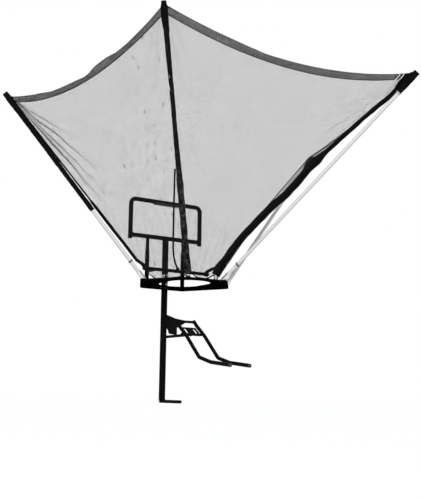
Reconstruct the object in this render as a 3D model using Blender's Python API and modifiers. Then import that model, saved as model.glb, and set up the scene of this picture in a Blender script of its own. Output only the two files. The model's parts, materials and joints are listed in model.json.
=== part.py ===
"""Hanging return net: hanger, net funnel on four poles, drop plate and a swivelling chute.

Metres, +Z up, +X to the right seen from the front, -Y towards the front.
The origin is the middle of the hanger pad's flat underside, where the whole thing hangs.
"""
import math

import bmesh
import bpy
from mathutils import Matrix, Vector

# Clearances
SEAT_GAP = 0.0003
SLIDE_GAP = 0.0004
SEAM_GAP = 0.0008
CUT_OVERRUN = 0.004
WELD_DISTANCE = 0.00001

# Hanger
HANGER_HALF_WIDTH = 0.258
HANGER_BAR_DROP = 0.236
HANGER_TUBE_RADIUS = 0.0145
HANGER_TUBE_WALL = 0.002
HANGER_BEND_RADIUS = 0.032
HANGER_LEG_TAIL = 0.024
PAD_LENGTH = 0.180
PAD_WIDTH = 0.036
PAD_FLOOR = 0.003
PAD_WRAP_HEIGHT = 0.009

# Struts and their plug-in sleeves
STRUT_HALF_SPACING = 0.132
STRUT_RADIUS = 0.0108
STRUT_WALL = 0.0015
STRUT_INSERT_DEPTH = 0.185
SLEEVE_WALL = 0.0025
SLEEVE_LENGTH = 0.233
LOCK_PIN_RADIUS = 0.003
LOCK_PIN_DROP = 0.045
LOCK_PIN_HEAD_RADIUS = 0.007
LOCK_PIN_HEAD_LENGTH = 0.006
LOCK_PIN_TAIL = 0.004

# Drop plate, its stiffening rim and the hole that things fall through
PLATE_TOP = -0.5375
PLATE_THICKNESS = 0.004
PLATE_REAR_HALF_WIDTH = 0.158
PLATE_REAR_Y = 0.040
PLATE_SIDE_HALF_WIDTH = 0.318
PLATE_SIDE_Y = -0.270
PLATE_FRONT_HALF_WIDTH = 0.138
PLATE_FRONT_Y = -0.528
PLATE_CORNER_RADIUS = 0.030
DROP_HOLE_RADIUS = 0.135
DROP_HOLE_Y = -0.305
DROP_HOLE_REAR_Y = -0.200
RIM_TUBE_RADIUS = 0.005

# Cross bar that spreads the rear corners of the net
CROSS_BAR_HALF_LENGTH = 0.238
CROSS_BAR_Y = -0.150
CROSS_BAR_Z = -0.451
CROSS_BAR_RADIUS = 0.011
CROSS_BAR_WALL = 0.0015
BRACKET_WIDTH = 0.022
BRACKET_THICKNESS = 0.005

# Poles that spread the net, their sockets and the fabric pockets on their tips
POLE_RADIUS = 0.011
POLE_WALL = 0.0013
REAR_BASE_X = 0.292
REAR_BASE_Y = -0.268
REAR_TIP_X = 1.150
REAR_TIP_Y = -0.104
REAR_TIP_Z = 0.4945
FRONT_BASE_X = 0.120
FRONT_BASE_Y = -0.500
FRONT_TIP_X = 0.834
FRONT_TIP_Y = -1.423
FRONT_TIP_Z = 0.6265
SOCKET_WALL = 0.003
SOCKET_LENGTH = 0.055
POLE_FOOT_RISE = 0.0125
POCKET_RADIUS = 0.017
POCKET_LENGTH = 0.130
LONG_POCKET_POLE_SHARE = 0.62
POCKET_END = 0.005
POLE_SLEEVE_RADIUS = 0.0165
POLE_SLEEVE_FOOT = 0.075
TIE_CORD_RADIUS = 0.002
POLE_STRAP_RISE = 0.135

# Net panels, hems and corner bands
NET_COLUMNS = 9
NET_ROWS = 8
NET_THICKNESS = 0.0016
NET_STRAND_HALF_WIDTH = 0.003
NET_BELLY = 0.030
LEFT_HEM_SAG = 0.148
RIGHT_HEM_SAG = 0.030
FRONT_HEM_SAG = 0.122
SIDE_BOTTOM_SAG = 0.070
FRONT_BOTTOM_SAG = 0.034
HEM_HEIGHT = 0.046
HEM_THICKNESS = 0.0022
BAND_WIDTH = 0.028
BAND_THICKNESS = 0.0024
BAND_TOP_DROP = 0.020
BAND_STRAP_LENGTH = 0.030
BAND_STRAP_WIDTH = 0.020
FRONT_BAND_FOOT_OFFSET = 0.066
FRONT_BAND_FOOT_RISE = 0.020
FRONT_BAND_BOW = 0.044
SAG_FADE_POWER = 1.6

# Draw cord: its loose tail hangs plumb beside the sleeved pole and curls at its end
DRAW_CORD_RADIUS = 0.005
DRAW_CORD_ROUTE = [
    (-0.4605, -0.9095, -0.0214),
    (-0.4613, -0.9095, -0.1600),
    (-0.4613, -0.9095, -0.3000),
    (-0.4611, -0.9095, -0.4200),
    (-0.4583, -0.9095, -0.4800),
    (-0.4483, -0.9095, -0.5250),
    (-0.4313, -0.9095, -0.5620),
]
DRAW_CORD_SPAN_STEPS = 8

# Mast, spindle and the post that swivels on it
MAST_RADIUS = 0.0205
MAST_WALL = 0.002
MAST_LENGTH = 0.226
SPINDLE_RADIUS = 0.010
SPINDLE_THREAD_RADIUS = 0.008
SPINDLE_HEAD_LENGTH = 0.070
SPINDLE_THREAD_LENGTH = 0.026
COLLAR_RADIUS = 0.0250
COLLAR_HEIGHT = 0.026
COLLAR_CHAMFER = 0.003
BUSH_FLANGE_HEIGHT = 0.006
BUSH_LENGTH = 0.070
NUT_RADIUS = 0.0130
NUT_HEIGHT = 0.012
NUT_SIDES = 6
POST_LENGTH = 0.762
POST_SCREW_RADIUS = 0.003
POST_SCREW_HEAD_RADIUS = 0.006
POST_SCREW_HEAD_LENGTH = 0.004
POST_SCREW_DROP = 0.030
POST_SCREW_BITE = 0.003
BEARING_WALL = 0.0035
BEARING_FLANGE_RADIUS = 0.0305
BEARING_FLANGE_HEIGHT = 0.006
HANDLE_RADIUS = 0.010
HANDLE_REACH = 0.232

# Chute, with each corner given as its reach in front of the post and its drop below the post's top
RAIL_HALF_SPACING = 0.065
RAIL_RADIUS = 0.0112
RAIL_WALL = 0.0015
RAIL_START = (0.268, 0.281)
RAIL_KNEE = (0.296, 0.307)
RAIL_DROP = (0.396, 0.378)
RAIL_FLOOR = (0.548, 0.5125)
RAIL_RUN = (0.675, 0.543)
RAIL_TIP = (0.870, 0.563)
RAIL_BEND_RADIUS = 0.050
RAIL_PLUG_DEPTH = 0.012
RAIL_PLUG_HEAD = 0.004
CROSS_TUBE_RADIUS = 0.008
BRACE_RADIUS = 0.009
LOWER_TUBE_SHARE = 0.64
LOWER_TUBE_OVERHANG = 0.006
CRADLE_THICKNESS = 0.003
CRADLE_SLIT_WIDTH = 0.012
CRADLE_SLIT_INSET = 0.016
CRADLE_END_MARGIN = 0.016
GUSSET_THICKNESS = 0.006
GUSSET_TOP_DROP = 0.222
GUSSET_NECK = 0.074
GUSSET_SHOULDER = (0.145, 0.257)
GUSSET_TOE_FRONT_REACH = 0.168
GUSSET_TOE_REAR_REACH = 0.137
GUSSET_HEEL_REACH = 0.072
GUSSET_HEEL_RISE = 0.009
GUSSET_NOTCH_REACH = 0.064
GUSSET_NOTCH_RISE = 0.030
GUSSET_NOSE_HEIGHT = 0.016

# Mesh fineness
ROUND_STEPS = 24
SMALL_ROUND_STEPS = 16
CURVE_SIDES_RESOLUTION = 4
THIN_CURVE_RESOLUTION = 2
ROD_RESOLUTION = 6
MAST_RESOLUTION = 8
POST_RESOLUTION = 14
BEND_STEPS = 3
SMOOTH_SHADE_ANGLE = math.radians(35)

# Places that follow from the sizes above
TOP_BAR_Z = PAD_FLOOR + SEAT_GAP + HANGER_TUBE_RADIUS
LOWER_BAR_Z = TOP_BAR_Z - HANGER_BAR_DROP
STRUT_TOP = LOWER_BAR_Z - HANGER_TUBE_RADIUS - SEAT_GAP
SLEEVE_RADIUS = STRUT_RADIUS + SLIDE_GAP + SLEEVE_WALL
SLEEVE_BOTTOM = PLATE_TOP + SEAT_GAP
SLEEVE_TOP = SLEEVE_BOTTOM + SLEEVE_LENGTH
PLATE_BOTTOM = PLATE_TOP - PLATE_THICKNESS
MAST_BOTTOM = STRUT_TOP - MAST_LENGTH
COLLAR_TOP = MAST_BOTTOM - SEAT_GAP
COLLAR_BOTTOM = COLLAR_TOP - COLLAR_HEIGHT
BUSH_TOP = COLLAR_BOTTOM - SLIDE_GAP
POST_TOP = BUSH_TOP - BUSH_FLANGE_HEIGHT - SEAT_GAP
BUSH_BOTTOM = BUSH_TOP - BUSH_LENGTH
NUT_TOP = BUSH_BOTTOM - SLIDE_GAP
POST_BOTTOM = POST_TOP - POST_LENGTH
POST_RADIUS = MAST_RADIUS
POST_BORE = MAST_RADIUS - MAST_WALL
HANDLE_Z = POST_BOTTOM - SEAT_GAP - HANDLE_RADIUS

DOWN = Vector((0, 0, -1))
UP = Vector((0, 0, 1))
RIGHT = Vector((1, 0, 0))
REAR = Vector((0, 1, 0))


def clear_scene():
    for old in list(bpy.data.objects):
        bpy.data.objects.remove(old, do_unlink=True)


def new_collection(name):
    collection = bpy.data.collections.new(name)
    bpy.context.scene.collection.children.link(collection)
    return collection


clear_scene()
PARTS = new_collection("return_net")
CUTTERS = new_collection("cutters")


def material(name, color, roughness, metallic):
    made = bpy.data.materials.new(name)
    made.use_nodes = True
    shader = made.node_tree.nodes["Principled BSDF"]
    shader.inputs["Base Color"].default_value = (*color, 1)
    shader.inputs["Roughness"].default_value = roughness
    shader.inputs["Metallic"].default_value = metallic
    made.diffuse_color = (*color, 1)
    return made


# Look of each family of pieces: colour, roughness, metallic
LOOKS = {
    "black_steel": ((0.018, 0.018, 0.020), 0.45, 0.3),
    "zinc_steel": ((0.55, 0.56, 0.58), 0.35, 1.0),
    "chrome": ((0.82, 0.83, 0.85), 0.10, 1.0),
    "white_pole": ((0.80, 0.81, 0.83), 0.30, 0.1),
    "rubber": ((0.020, 0.020, 0.020), 0.80, 0.0),
    "black_plastic": ((0.025, 0.025, 0.027), 0.50, 0.0),
    "bearing_plastic": ((0.35, 0.27, 0.16), 0.50, 0.0),
    "black_webbing": ((0.015, 0.015, 0.017), 0.85, 0.0),
    "white_cord": ((0.80, 0.80, 0.80), 0.80, 0.0),
    "hem_mesh": ((0.190, 0.170, 0.155), 0.85, 0.0),
    "net_mesh": ((0.330, 0.330, 0.340), 0.85, 0.0),
}


def give_look(piece, look):
    """Give a piece a material of its own, named after it."""
    piece.data.materials.clear()
    piece.data.materials.append(material(piece.name, *LOOKS[look]))


def mesh_piece(name, bm, look, collection=None):
    mesh = bpy.data.meshes.new(name)
    bm.to_mesh(mesh)
    bm.free()
    piece = bpy.data.objects.new(name, mesh)
    (collection or PARTS).objects.link(piece)
    if look:
        give_look(piece, look)
    return piece


def smooth(piece):
    piece.data.shade_smooth()
    piece.data.set_sharp_from_angle(angle=SMOOTH_SHADE_ANGLE)


def aim(piece, location, direction):
    """Move a piece that was made along +Z so that it runs along direction from location."""
    turn = Vector(direction).to_track_quat("Z", "Y").to_matrix().to_4x4()
    piece.matrix_world = Matrix.Translation(location) @ turn


def rounded_path(corners, radius, closed=False):
    """The corner points with each corner replaced by an arc of the given radius."""
    corners = [Vector(corner) for corner in corners]
    count = len(corners)
    path = []
    for index, corner in enumerate(corners):
        if not closed and index in (0, count - 1):
            path.append(corner)
            continue
        into = (corners[index - 1] - corner).normalized()
        out = (corners[(index + 1) % count] - corner).normalized()
        half = into.angle(out) / 2
        centre = corner + (into + out).normalized() * (radius / math.sin(half))
        start = (corner + into * (radius / math.tan(half)) - centre).normalized()
        end = (corner + out * (radius / math.tan(half)) - centre).normalized()
        for step in range(BEND_STEPS + 1):
            path.append(centre + start.slerp(end, step / BEND_STEPS) * radius)
    return path


def curve_object(name, paths, closed=False, flat=False):
    data = bpy.data.curves.new(name, "CURVE")
    data.dimensions = "2D" if flat else "3D"
    for path in paths:
        spline = data.splines.new("POLY")
        spline.points.add(len(path) - 1)
        for point, place in zip(spline.points, path):
            point.co = (*place, 1) if len(place) == 3 else (*place, 0, 1)
        spline.use_cyclic_u = closed or flat
    return bpy.data.objects.new(name, data)


def rod(name, path, radius, look, resolution=CURVE_SIDES_RESOLUTION):
    """A solid round bar along a path."""
    piece = curve_object(name, [path])
    piece.data.bevel_depth = radius
    piece.data.bevel_resolution = resolution
    piece.data.use_fill_caps = True
    PARTS.objects.link(piece)
    give_look(piece, look)
    return piece


def as_mesh(piece):
    """Turn a curve object into a mesh object of the same name, with its caps welded."""
    bpy.context.view_layer.update()
    evaluated = piece.evaluated_get(bpy.context.evaluated_depsgraph_get())
    mesh = bpy.data.meshes.new_from_object(evaluated)
    name = piece.name
    matrix = piece.matrix_world.copy()
    bpy.data.objects.remove(piece, do_unlink=True)
    bm = bmesh.new()
    bm.from_mesh(mesh)
    bmesh.ops.remove_doubles(bm, verts=bm.verts, dist=WELD_DISTANCE)
    bmesh.ops.recalc_face_normals(bm, faces=bm.faces)
    bm.to_mesh(mesh)
    bm.free()
    mesh.name = name
    made = bpy.data.objects.new(name, mesh)
    made.matrix_world = matrix
    PARTS.objects.link(made)
    return made


def pipe(name, path, radius, wall, look, closed=False, resolution=CURVE_SIDES_RESOLUTION):
    """A hollow round tube along a path, open at both ends."""
    skin = curve_object(name, [path], closed)
    skin.data.bevel_depth = radius
    skin.data.bevel_resolution = resolution
    PARTS.objects.link(skin)
    piece = as_mesh(skin)
    shell = piece.modifiers.new("wall", "SOLIDIFY")
    shell.thickness = wall
    shell.offset = -1
    give_look(piece, look)
    smooth(piece)
    return piece


def straight(start, end):
    return [Vector(start), Vector(end)]


def smooth_path(route, span_steps):
    """Points read from a smooth curve that runs through every point of a route."""
    route = [Vector(point) for point in route]
    ends = [2 * route[0] - route[1], *route, 2 * route[-1] - route[-2]]
    path = []
    for before, first, second, after in zip(ends, ends[1:], ends[2:], ends[3:]):
        for step in range(span_steps):
            share = step / span_steps
            way_in = (second - before) / 2
            way_out = (after - first) / 2
            lift = first * (1 + 2 * share) * (1 - share) ** 2 + second * share ** 2 * (3 - 2 * share)
            lift += way_in * share * (1 - share) ** 2 - way_out * share ** 2 * (1 - share)
            path.append(lift)
    path.append(route[-1])
    return path


def turned(name, profile, look, steps=ROUND_STEPS, location=(0, 0, 0), direction=UP):
    """A turned piece: (radius, height) points run down the outside and, on a hollow one, up the bore."""
    bm = bmesh.new()
    points = [bm.verts.new((radius, 0, height)) for radius, height in profile]
    for first, second in zip(points, points[1:]):
        bm.edges.new((first, second))
    if all(radius > 0 for radius, _ in profile):
        bm.edges.new((points[-1], points[0]))
    piece = mesh_piece(name, bm, look)
    screw = piece.modifiers.new("turn", "SCREW")
    screw.steps = steps
    screw.render_steps = steps
    screw.use_merge_vertices = True
    screw.merge_threshold = WELD_DISTANCE
    screw.use_smooth_shade = False
    aim(piece, location, direction)
    return piece


def ring_profile(outer, inner, top, bottom):
    return [(outer, top), (outer, bottom), (inner, bottom), (inner, top)]


def box(name, low, high, look, collection=None):
    low = Vector(low)
    high = Vector(high)
    bm = bmesh.new()
    bmesh.ops.create_cube(bm, size=1)
    bmesh.ops.scale(bm, vec=high - low, verts=bm.verts)
    bmesh.ops.translate(bm, vec=(low + high) / 2, verts=bm.verts)
    return mesh_piece(name, bm, look, collection)


def slab(name, outlines, thickness, look):
    """A flat piece: the first outline is its edge, the others are its holes."""
    piece = curve_object(name, outlines, flat=True)
    piece.data.fill_mode = "BOTH"
    piece.data.extrude = thickness / 2
    PARTS.objects.link(piece)
    give_look(piece, look)
    return piece


def circle_points(radius, centre, steps=ROUND_STEPS):
    turns = [2 * math.pi * step / steps for step in range(steps)]
    return [(centre[0] + radius * math.cos(turn), centre[1] + radius * math.sin(turn)) for turn in turns]


def oblong_points(radius, front_y, rear_y, steps):
    """A hole's outline: half a circle at its rear, half a circle at its front, and straight sides."""
    ring = circle_points(radius, (0, 0), steps)
    half = steps // 2
    rear = [(x, y + rear_y) for x, y in ring[:half + 1]]
    front = [(x, y + front_y) for x, y in ring[half:] + ring[:1]]
    return rear + front


def round_cutter(name, radius, start, end, steps=SMALL_ROUND_STEPS):
    start = Vector(start)
    reach = Vector(end) - start
    bm = bmesh.new()
    bmesh.ops.create_cone(
        bm, cap_ends=True, segments=steps, radius1=radius, radius2=radius, depth=reach.length)
    cutter = mesh_piece(name, bm, None, CUTTERS)
    aim(cutter, start + reach / 2, reach)
    return cutter


def cut(piece, cutter):
    cutter.hide_render = True
    cutter.display_type = "WIRE"
    boolean = piece.modifiers.new("cut", "BOOLEAN")
    boolean.operation = "DIFFERENCE"
    boolean.solver = "EXACT"
    boolean.object = cutter


def sheet(name, rows, thickness, look, strand_half_width=0):
    """A thin sheet through rows of points; with a strand width it is an open lattice."""
    bm = bmesh.new()
    grid = [[bm.verts.new(point) for point in row] for row in rows]
    for upper, lower in zip(grid, grid[1:]):
        for index in range(len(upper) - 1):
            bm.faces.new((upper[index], lower[index], lower[index + 1], upper[index + 1]))
    if strand_half_width:
        bm.normal_update()
        cells = list(bm.faces)
        bmesh.ops.inset_individual(bm, faces=cells, thickness=strand_half_width, use_even_offset=True)
        bmesh.ops.delete(bm, geom=cells, context="FACES_ONLY")
    piece = mesh_piece(name, bm, look)
    shell = piece.modifiers.new("thickness", "SOLIDIFY")
    shell.thickness = thickness
    shell.offset = 0
    return piece


# Poles

class Pole:
    """One pole: its foot on the plate, its tip and the places along it."""

    def __init__(self, base_x, base_y, tip_x, tip_y, tip_z):
        self.base = Vector((base_x, base_y, PLATE_TOP))
        self.tip = Vector((tip_x, tip_y, tip_z))
        self.axis = (self.tip - self.base).normalized()
        self.length = (self.tip - self.base).length

    def at(self, distance):
        return self.base + self.axis * distance

    def below_tip(self, distance):
        return self.tip - self.axis * distance

    def side_towards(self, target):
        """Unit vector square to the pole, pointing at a target."""
        reach = Vector(target) - self.base
        return (reach - self.axis * reach.dot(self.axis)).normalized()


POLES = {
    "rear_left": Pole(-REAR_BASE_X, REAR_BASE_Y, -REAR_TIP_X, REAR_TIP_Y, REAR_TIP_Z),
    "front_left": Pole(-FRONT_BASE_X, FRONT_BASE_Y, -FRONT_TIP_X, FRONT_TIP_Y, FRONT_TIP_Z),
    "front_right": Pole(FRONT_BASE_X, FRONT_BASE_Y, FRONT_TIP_X, FRONT_TIP_Y, FRONT_TIP_Z),
    "rear_right": Pole(REAR_BASE_X, REAR_BASE_Y, REAR_TIP_X, REAR_TIP_Y, REAR_TIP_Z),
}
SLEEVED_POLE = "front_left"
LONG_POCKET_POLE = "rear_left"


def build_hanger():
    half = HANGER_HALF_WIDTH
    foot = LOWER_BAR_Z - HANGER_LEG_TAIL
    corners = [(-half, 0, foot), (-half, 0, TOP_BAR_Z), (half, 0, TOP_BAR_Z), (half, 0, foot)]
    path = rounded_path(corners, HANGER_BEND_RADIUS)
    pipe("hanger_frame", path, HANGER_TUBE_RADIUS, HANGER_TUBE_WALL, "black_steel")
    reach = half - HANGER_TUBE_RADIUS - SEAT_GAP
    bar = straight((-reach, 0, LOWER_BAR_Z), (reach, 0, LOWER_BAR_Z))
    pipe("hanger_lower_bar", bar, HANGER_TUBE_RADIUS, HANGER_TUBE_WALL, "black_steel")


def build_pad():
    """A grooved rubber pad under the top bar; its underside is the origin's plane."""
    half_length = PAD_LENGTH / 2
    half_width = PAD_WIDTH / 2
    top = PAD_FLOOR + PAD_WRAP_HEIGHT
    pad = box("hanger_pad", (-half_length, -half_width, 0), (half_length, half_width, top), "rubber")
    reach = half_length + CUT_OVERRUN
    groove = HANGER_TUBE_RADIUS + SEAT_GAP
    cut(pad, round_cutter("pad_groove", groove, (-reach, 0, TOP_BAR_Z), (reach, 0, TOP_BAR_Z), ROUND_STEPS))


def build_struts():
    pin_z = SLEEVE_TOP - LOCK_PIN_DROP
    hole = LOCK_PIN_RADIUS + SLIDE_GAP
    for side, sign in (("left", -1), ("right", 1)):
        x = sign * STRUT_HALF_SPACING
        bottom = SLEEVE_TOP - STRUT_INSERT_DEPTH
        strut = pipe(f"strut_{side}", straight((x, 0, bottom), (x, 0, STRUT_TOP)), STRUT_RADIUS,
                     STRUT_WALL, "black_steel")
        sleeve_path = straight((x, 0, SLEEVE_BOTTOM), (x, 0, SLEEVE_TOP))
        sleeve = pipe(f"strut_sleeve_{side}", sleeve_path, SLEEVE_RADIUS, SLEEVE_WALL, "black_steel")
        reach = sign * (SLEEVE_RADIUS + CUT_OVERRUN)
        drill = round_cutter(f"pin_drill_{side}", hole, (x - reach, 0, pin_z), (x + reach, 0, pin_z))
        cut(strut, drill)
        cut(sleeve, drill)
        head_end = SLEEVE_RADIUS + SEAT_GAP
        tail_end = -SLEEVE_RADIUS - LOCK_PIN_TAIL
        pin = [
            (0, head_end + LOCK_PIN_HEAD_LENGTH), (LOCK_PIN_HEAD_RADIUS, head_end + LOCK_PIN_HEAD_LENGTH),
            (LOCK_PIN_HEAD_RADIUS, head_end), (LOCK_PIN_RADIUS, head_end), (LOCK_PIN_RADIUS, tail_end),
            (0, tail_end),
        ]
        turned(f"strut_lock_pin_{side}", pin, "zinc_steel", SMALL_ROUND_STEPS, (x, 0, pin_z), RIGHT * sign)


def plate_corners(inset):
    """The plate's outline, drawn in by an inset, going round from the rear left."""
    half = [
        (PLATE_REAR_HALF_WIDTH - inset, PLATE_REAR_Y - inset),
        (PLATE_SIDE_HALF_WIDTH - inset, PLATE_SIDE_Y),
        (PLATE_FRONT_HALF_WIDTH - inset, PLATE_FRONT_Y + inset),
    ]
    left = [(-x, y) for x, y in half]
    return left + half[::-1]


def build_plate():
    edge = [(point.x, point.y) for point in rounded_path(
        [(x, y, 0) for x, y in plate_corners(0)], PLATE_CORNER_RADIUS, closed=True)]
    drop_hole = oblong_points(DROP_HOLE_RADIUS, DROP_HOLE_Y, DROP_HOLE_REAR_Y, 2 * ROUND_STEPS)
    bearing_hole = circle_points(POST_RADIUS + SLIDE_GAP + BEARING_WALL + SLIDE_GAP, (0, 0))
    plate = slab("drop_plate", [edge, drop_hole, bearing_hole], PLATE_THICKNESS, "black_steel")
    plate.location = (0, 0, PLATE_TOP - PLATE_THICKNESS / 2)
    rim_z = PLATE_BOTTOM - SEAT_GAP - RIM_TUBE_RADIUS
    rim_corners = [(x, y, rim_z) for x, y in plate_corners(RIM_TUBE_RADIUS)]
    path = rounded_path(rim_corners, PLATE_CORNER_RADIUS, closed=True)
    rim = curve_object("plate_rim", [path], closed=True)
    rim.data.bevel_depth = RIM_TUBE_RADIUS
    rim.data.bevel_resolution = CURVE_SIDES_RESOLUTION
    PARTS.objects.link(rim)
    give_look(rim, "black_steel")


def build_cross_bar():
    half = CROSS_BAR_HALF_LENGTH
    path = straight((-half, CROSS_BAR_Y, CROSS_BAR_Z), (half, CROSS_BAR_Y, CROSS_BAR_Z))
    pipe("cross_bar", path, CROSS_BAR_RADIUS, CROSS_BAR_WALL, "black_steel")
    rear = -SLEEVE_RADIUS - SEAT_GAP
    front = CROSS_BAR_Y + CROSS_BAR_RADIUS + SEAT_GAP
    for side, sign in (("left", -1), ("right", 1)):
        x = sign * STRUT_HALF_SPACING
        low = (x - BRACKET_WIDTH / 2, front, CROSS_BAR_Z - BRACKET_THICKNESS / 2)
        high = (x + BRACKET_WIDTH / 2, rear, CROSS_BAR_Z + BRACKET_THICKNESS / 2)
        box(f"cross_bar_bracket_{side}", low, high, "black_steel")


def build_pole(corner):
    pole = POLES[corner]
    socket_bore = POLE_RADIUS + SLIDE_GAP
    socket_radius = socket_bore + SOCKET_WALL
    sink = socket_radius * 2
    socket = turned(f"pole_socket_{corner}", ring_profile(socket_radius, socket_bore, SOCKET_LENGTH, -sink),
                    "zinc_steel", ROUND_STEPS, pole.base, pole.axis)
    reach = 2 * socket_radius + sink
    floor = pole.base.z + SEAT_GAP
    cut(socket, box(f"socket_foot_{corner}", (pole.base.x - reach, pole.base.y - reach, floor - reach),
                    (pole.base.x + reach, pole.base.y + reach, floor), None, CUTTERS))
    inside = pole.below_tip(POCKET_END + SEAT_GAP)
    pipe(f"pole_{corner}", [pole.at(POLE_FOOT_RISE), inside], POLE_RADIUS, POLE_WALL, "white_pole",
         resolution=ROD_RESOLUTION)
    length = pole.length * LONG_POCKET_POLE_SHARE if corner == LONG_POCKET_POLE else POCKET_LENGTH
    pocket = [
        (0, 0), (POCKET_RADIUS - POCKET_END, 0), (POCKET_RADIUS, -POCKET_END),
        (POCKET_RADIUS, -length), (POLE_RADIUS + SLIDE_GAP, -length),
        (POLE_RADIUS + SLIDE_GAP, -POCKET_END), (0, -POCKET_END),
    ]
    turned(f"tip_pocket_{corner}", pocket, "black_webbing", SMALL_ROUND_STEPS, pole.tip, pole.axis)


def ring_on_pole(name, pole, place, inner, look):
    """A cord or strap loop round a pole or the pocket on it."""
    radius = inner + TIE_CORD_RADIUS + SLIDE_GAP
    loop = [Vector((x, y, 0)) for x, y in circle_points(radius, (0, 0), SMALL_ROUND_STEPS)]
    piece = curve_object(name, [loop], closed=True)
    piece.data.bevel_depth = TIE_CORD_RADIUS
    piece.data.bevel_resolution = THIN_CURVE_RESOLUTION
    PARTS.objects.link(piece)
    give_look(piece, look)
    aim(piece, place, pole.axis)


def build_pole_fabric():
    pole = POLES[SLEEVED_POLE]
    sleeve_length = pole.length - POCKET_LENGTH - SEAT_GAP - POLE_SLEEVE_FOOT
    profile = ring_profile(POLE_SLEEVE_RADIUS, POLE_RADIUS + SLIDE_GAP, sleeve_length, 0)
    turned(f"pole_sleeve_{SLEEVED_POLE}", profile, "black_webbing", SMALL_ROUND_STEPS,
           pole.at(POLE_SLEEVE_FOOT), pole.axis)
    right = POLES["front_right"]
    tie_place = right.below_tip(POCKET_LENGTH + TIE_CORD_RADIUS + SEAT_GAP)
    ring_on_pole("corner_tie_front_right", right, tie_place, POLE_RADIUS, "white_cord")
    for corner in ("rear_left", "front_right"):
        pole = POLES[corner]
        ring_on_pole(f"pole_strap_{corner}", pole, pole.at(POLE_STRAP_RISE), POLE_RADIUS, "black_webbing")


# Net: each edge is a list of points from the top hem to the foot

def edge_on_band(pole, foot, inward, half_depth, bow=0):
    """Centre line of a corner band: from beside the pole tip to its foot, bowed inwards."""
    top = pole.below_tip(BAND_TOP_DROP) + inward * (POCKET_RADIUS + SEAM_GAP + half_depth)
    points = []
    for step in range(NET_ROWS + 1):
        share = step / NET_ROWS
        points.append(top.lerp(foot, share) + inward * (bow * 4 * share * (1 - share)))
    return points


def shifted(points, direction, distance):
    return [point + direction * distance for point in points]


def panel_point(left, right, sag, bottom_sag, belly_way, share_across, row_share):
    """A point of a panel between two edges, with its hanging top hem and slight belly."""
    position = row_share * (len(left) - 1)
    index = min(int(position), len(left) - 2)
    part = position - index
    start = left[index].lerp(left[index + 1], part)
    end = right[index].lerp(right[index + 1], part)
    hang = 4 * share_across * (1 - share_across)
    rest = max(0, 1 - row_share)
    drop = sag * rest ** SAG_FADE_POWER + bottom_sag * row_share
    belly = NET_BELLY * hang * 4 * row_share * rest
    return start.lerp(end, share_across) + DOWN * (drop * hang) + belly_way * belly


def build_panel(side, left, right, sag, bottom_sag):
    """A net panel with the denser hem band along its top."""
    across = right[0] - left[0]
    belly_way = across.cross(left[-1] - left[0]).normalized()

    def column(share, start, end, rows):
        foot = panel_point(left, right, sag, bottom_sag, belly_way, share, 1)
        head = panel_point(left, right, sag, bottom_sag, belly_way, share, 0)
        height = (foot - head).length
        top = start / height
        low = end / height if end else 1
        steps = [top + (low - top) * row / rows for row in range(rows + 1)]
        return [panel_point(left, right, sag, bottom_sag, belly_way, share, step) for step in steps]

    shares = [index / NET_COLUMNS for index in range(NET_COLUMNS + 1)]
    hem = [column(share, 0, HEM_HEIGHT, 1) for share in shares]
    net = [column(share, HEM_HEIGHT + SEAM_GAP, 0, NET_ROWS) for share in shares]
    sheet(f"top_hem_{side}", hem, HEM_THICKNESS, "hem_mesh")
    sheet(f"net_panel_{side}", net, NET_THICKNESS, "net_mesh", NET_STRAND_HALF_WIDTH)


def build_band(name, centre_line, width_way):
    half = BAND_WIDTH / 2
    rows = [shifted(centre_line, width_way, -half), centre_line, shifted(centre_line, width_way, half)]
    sheet(name, rows, BAND_THICKNESS, "black_webbing")


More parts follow.
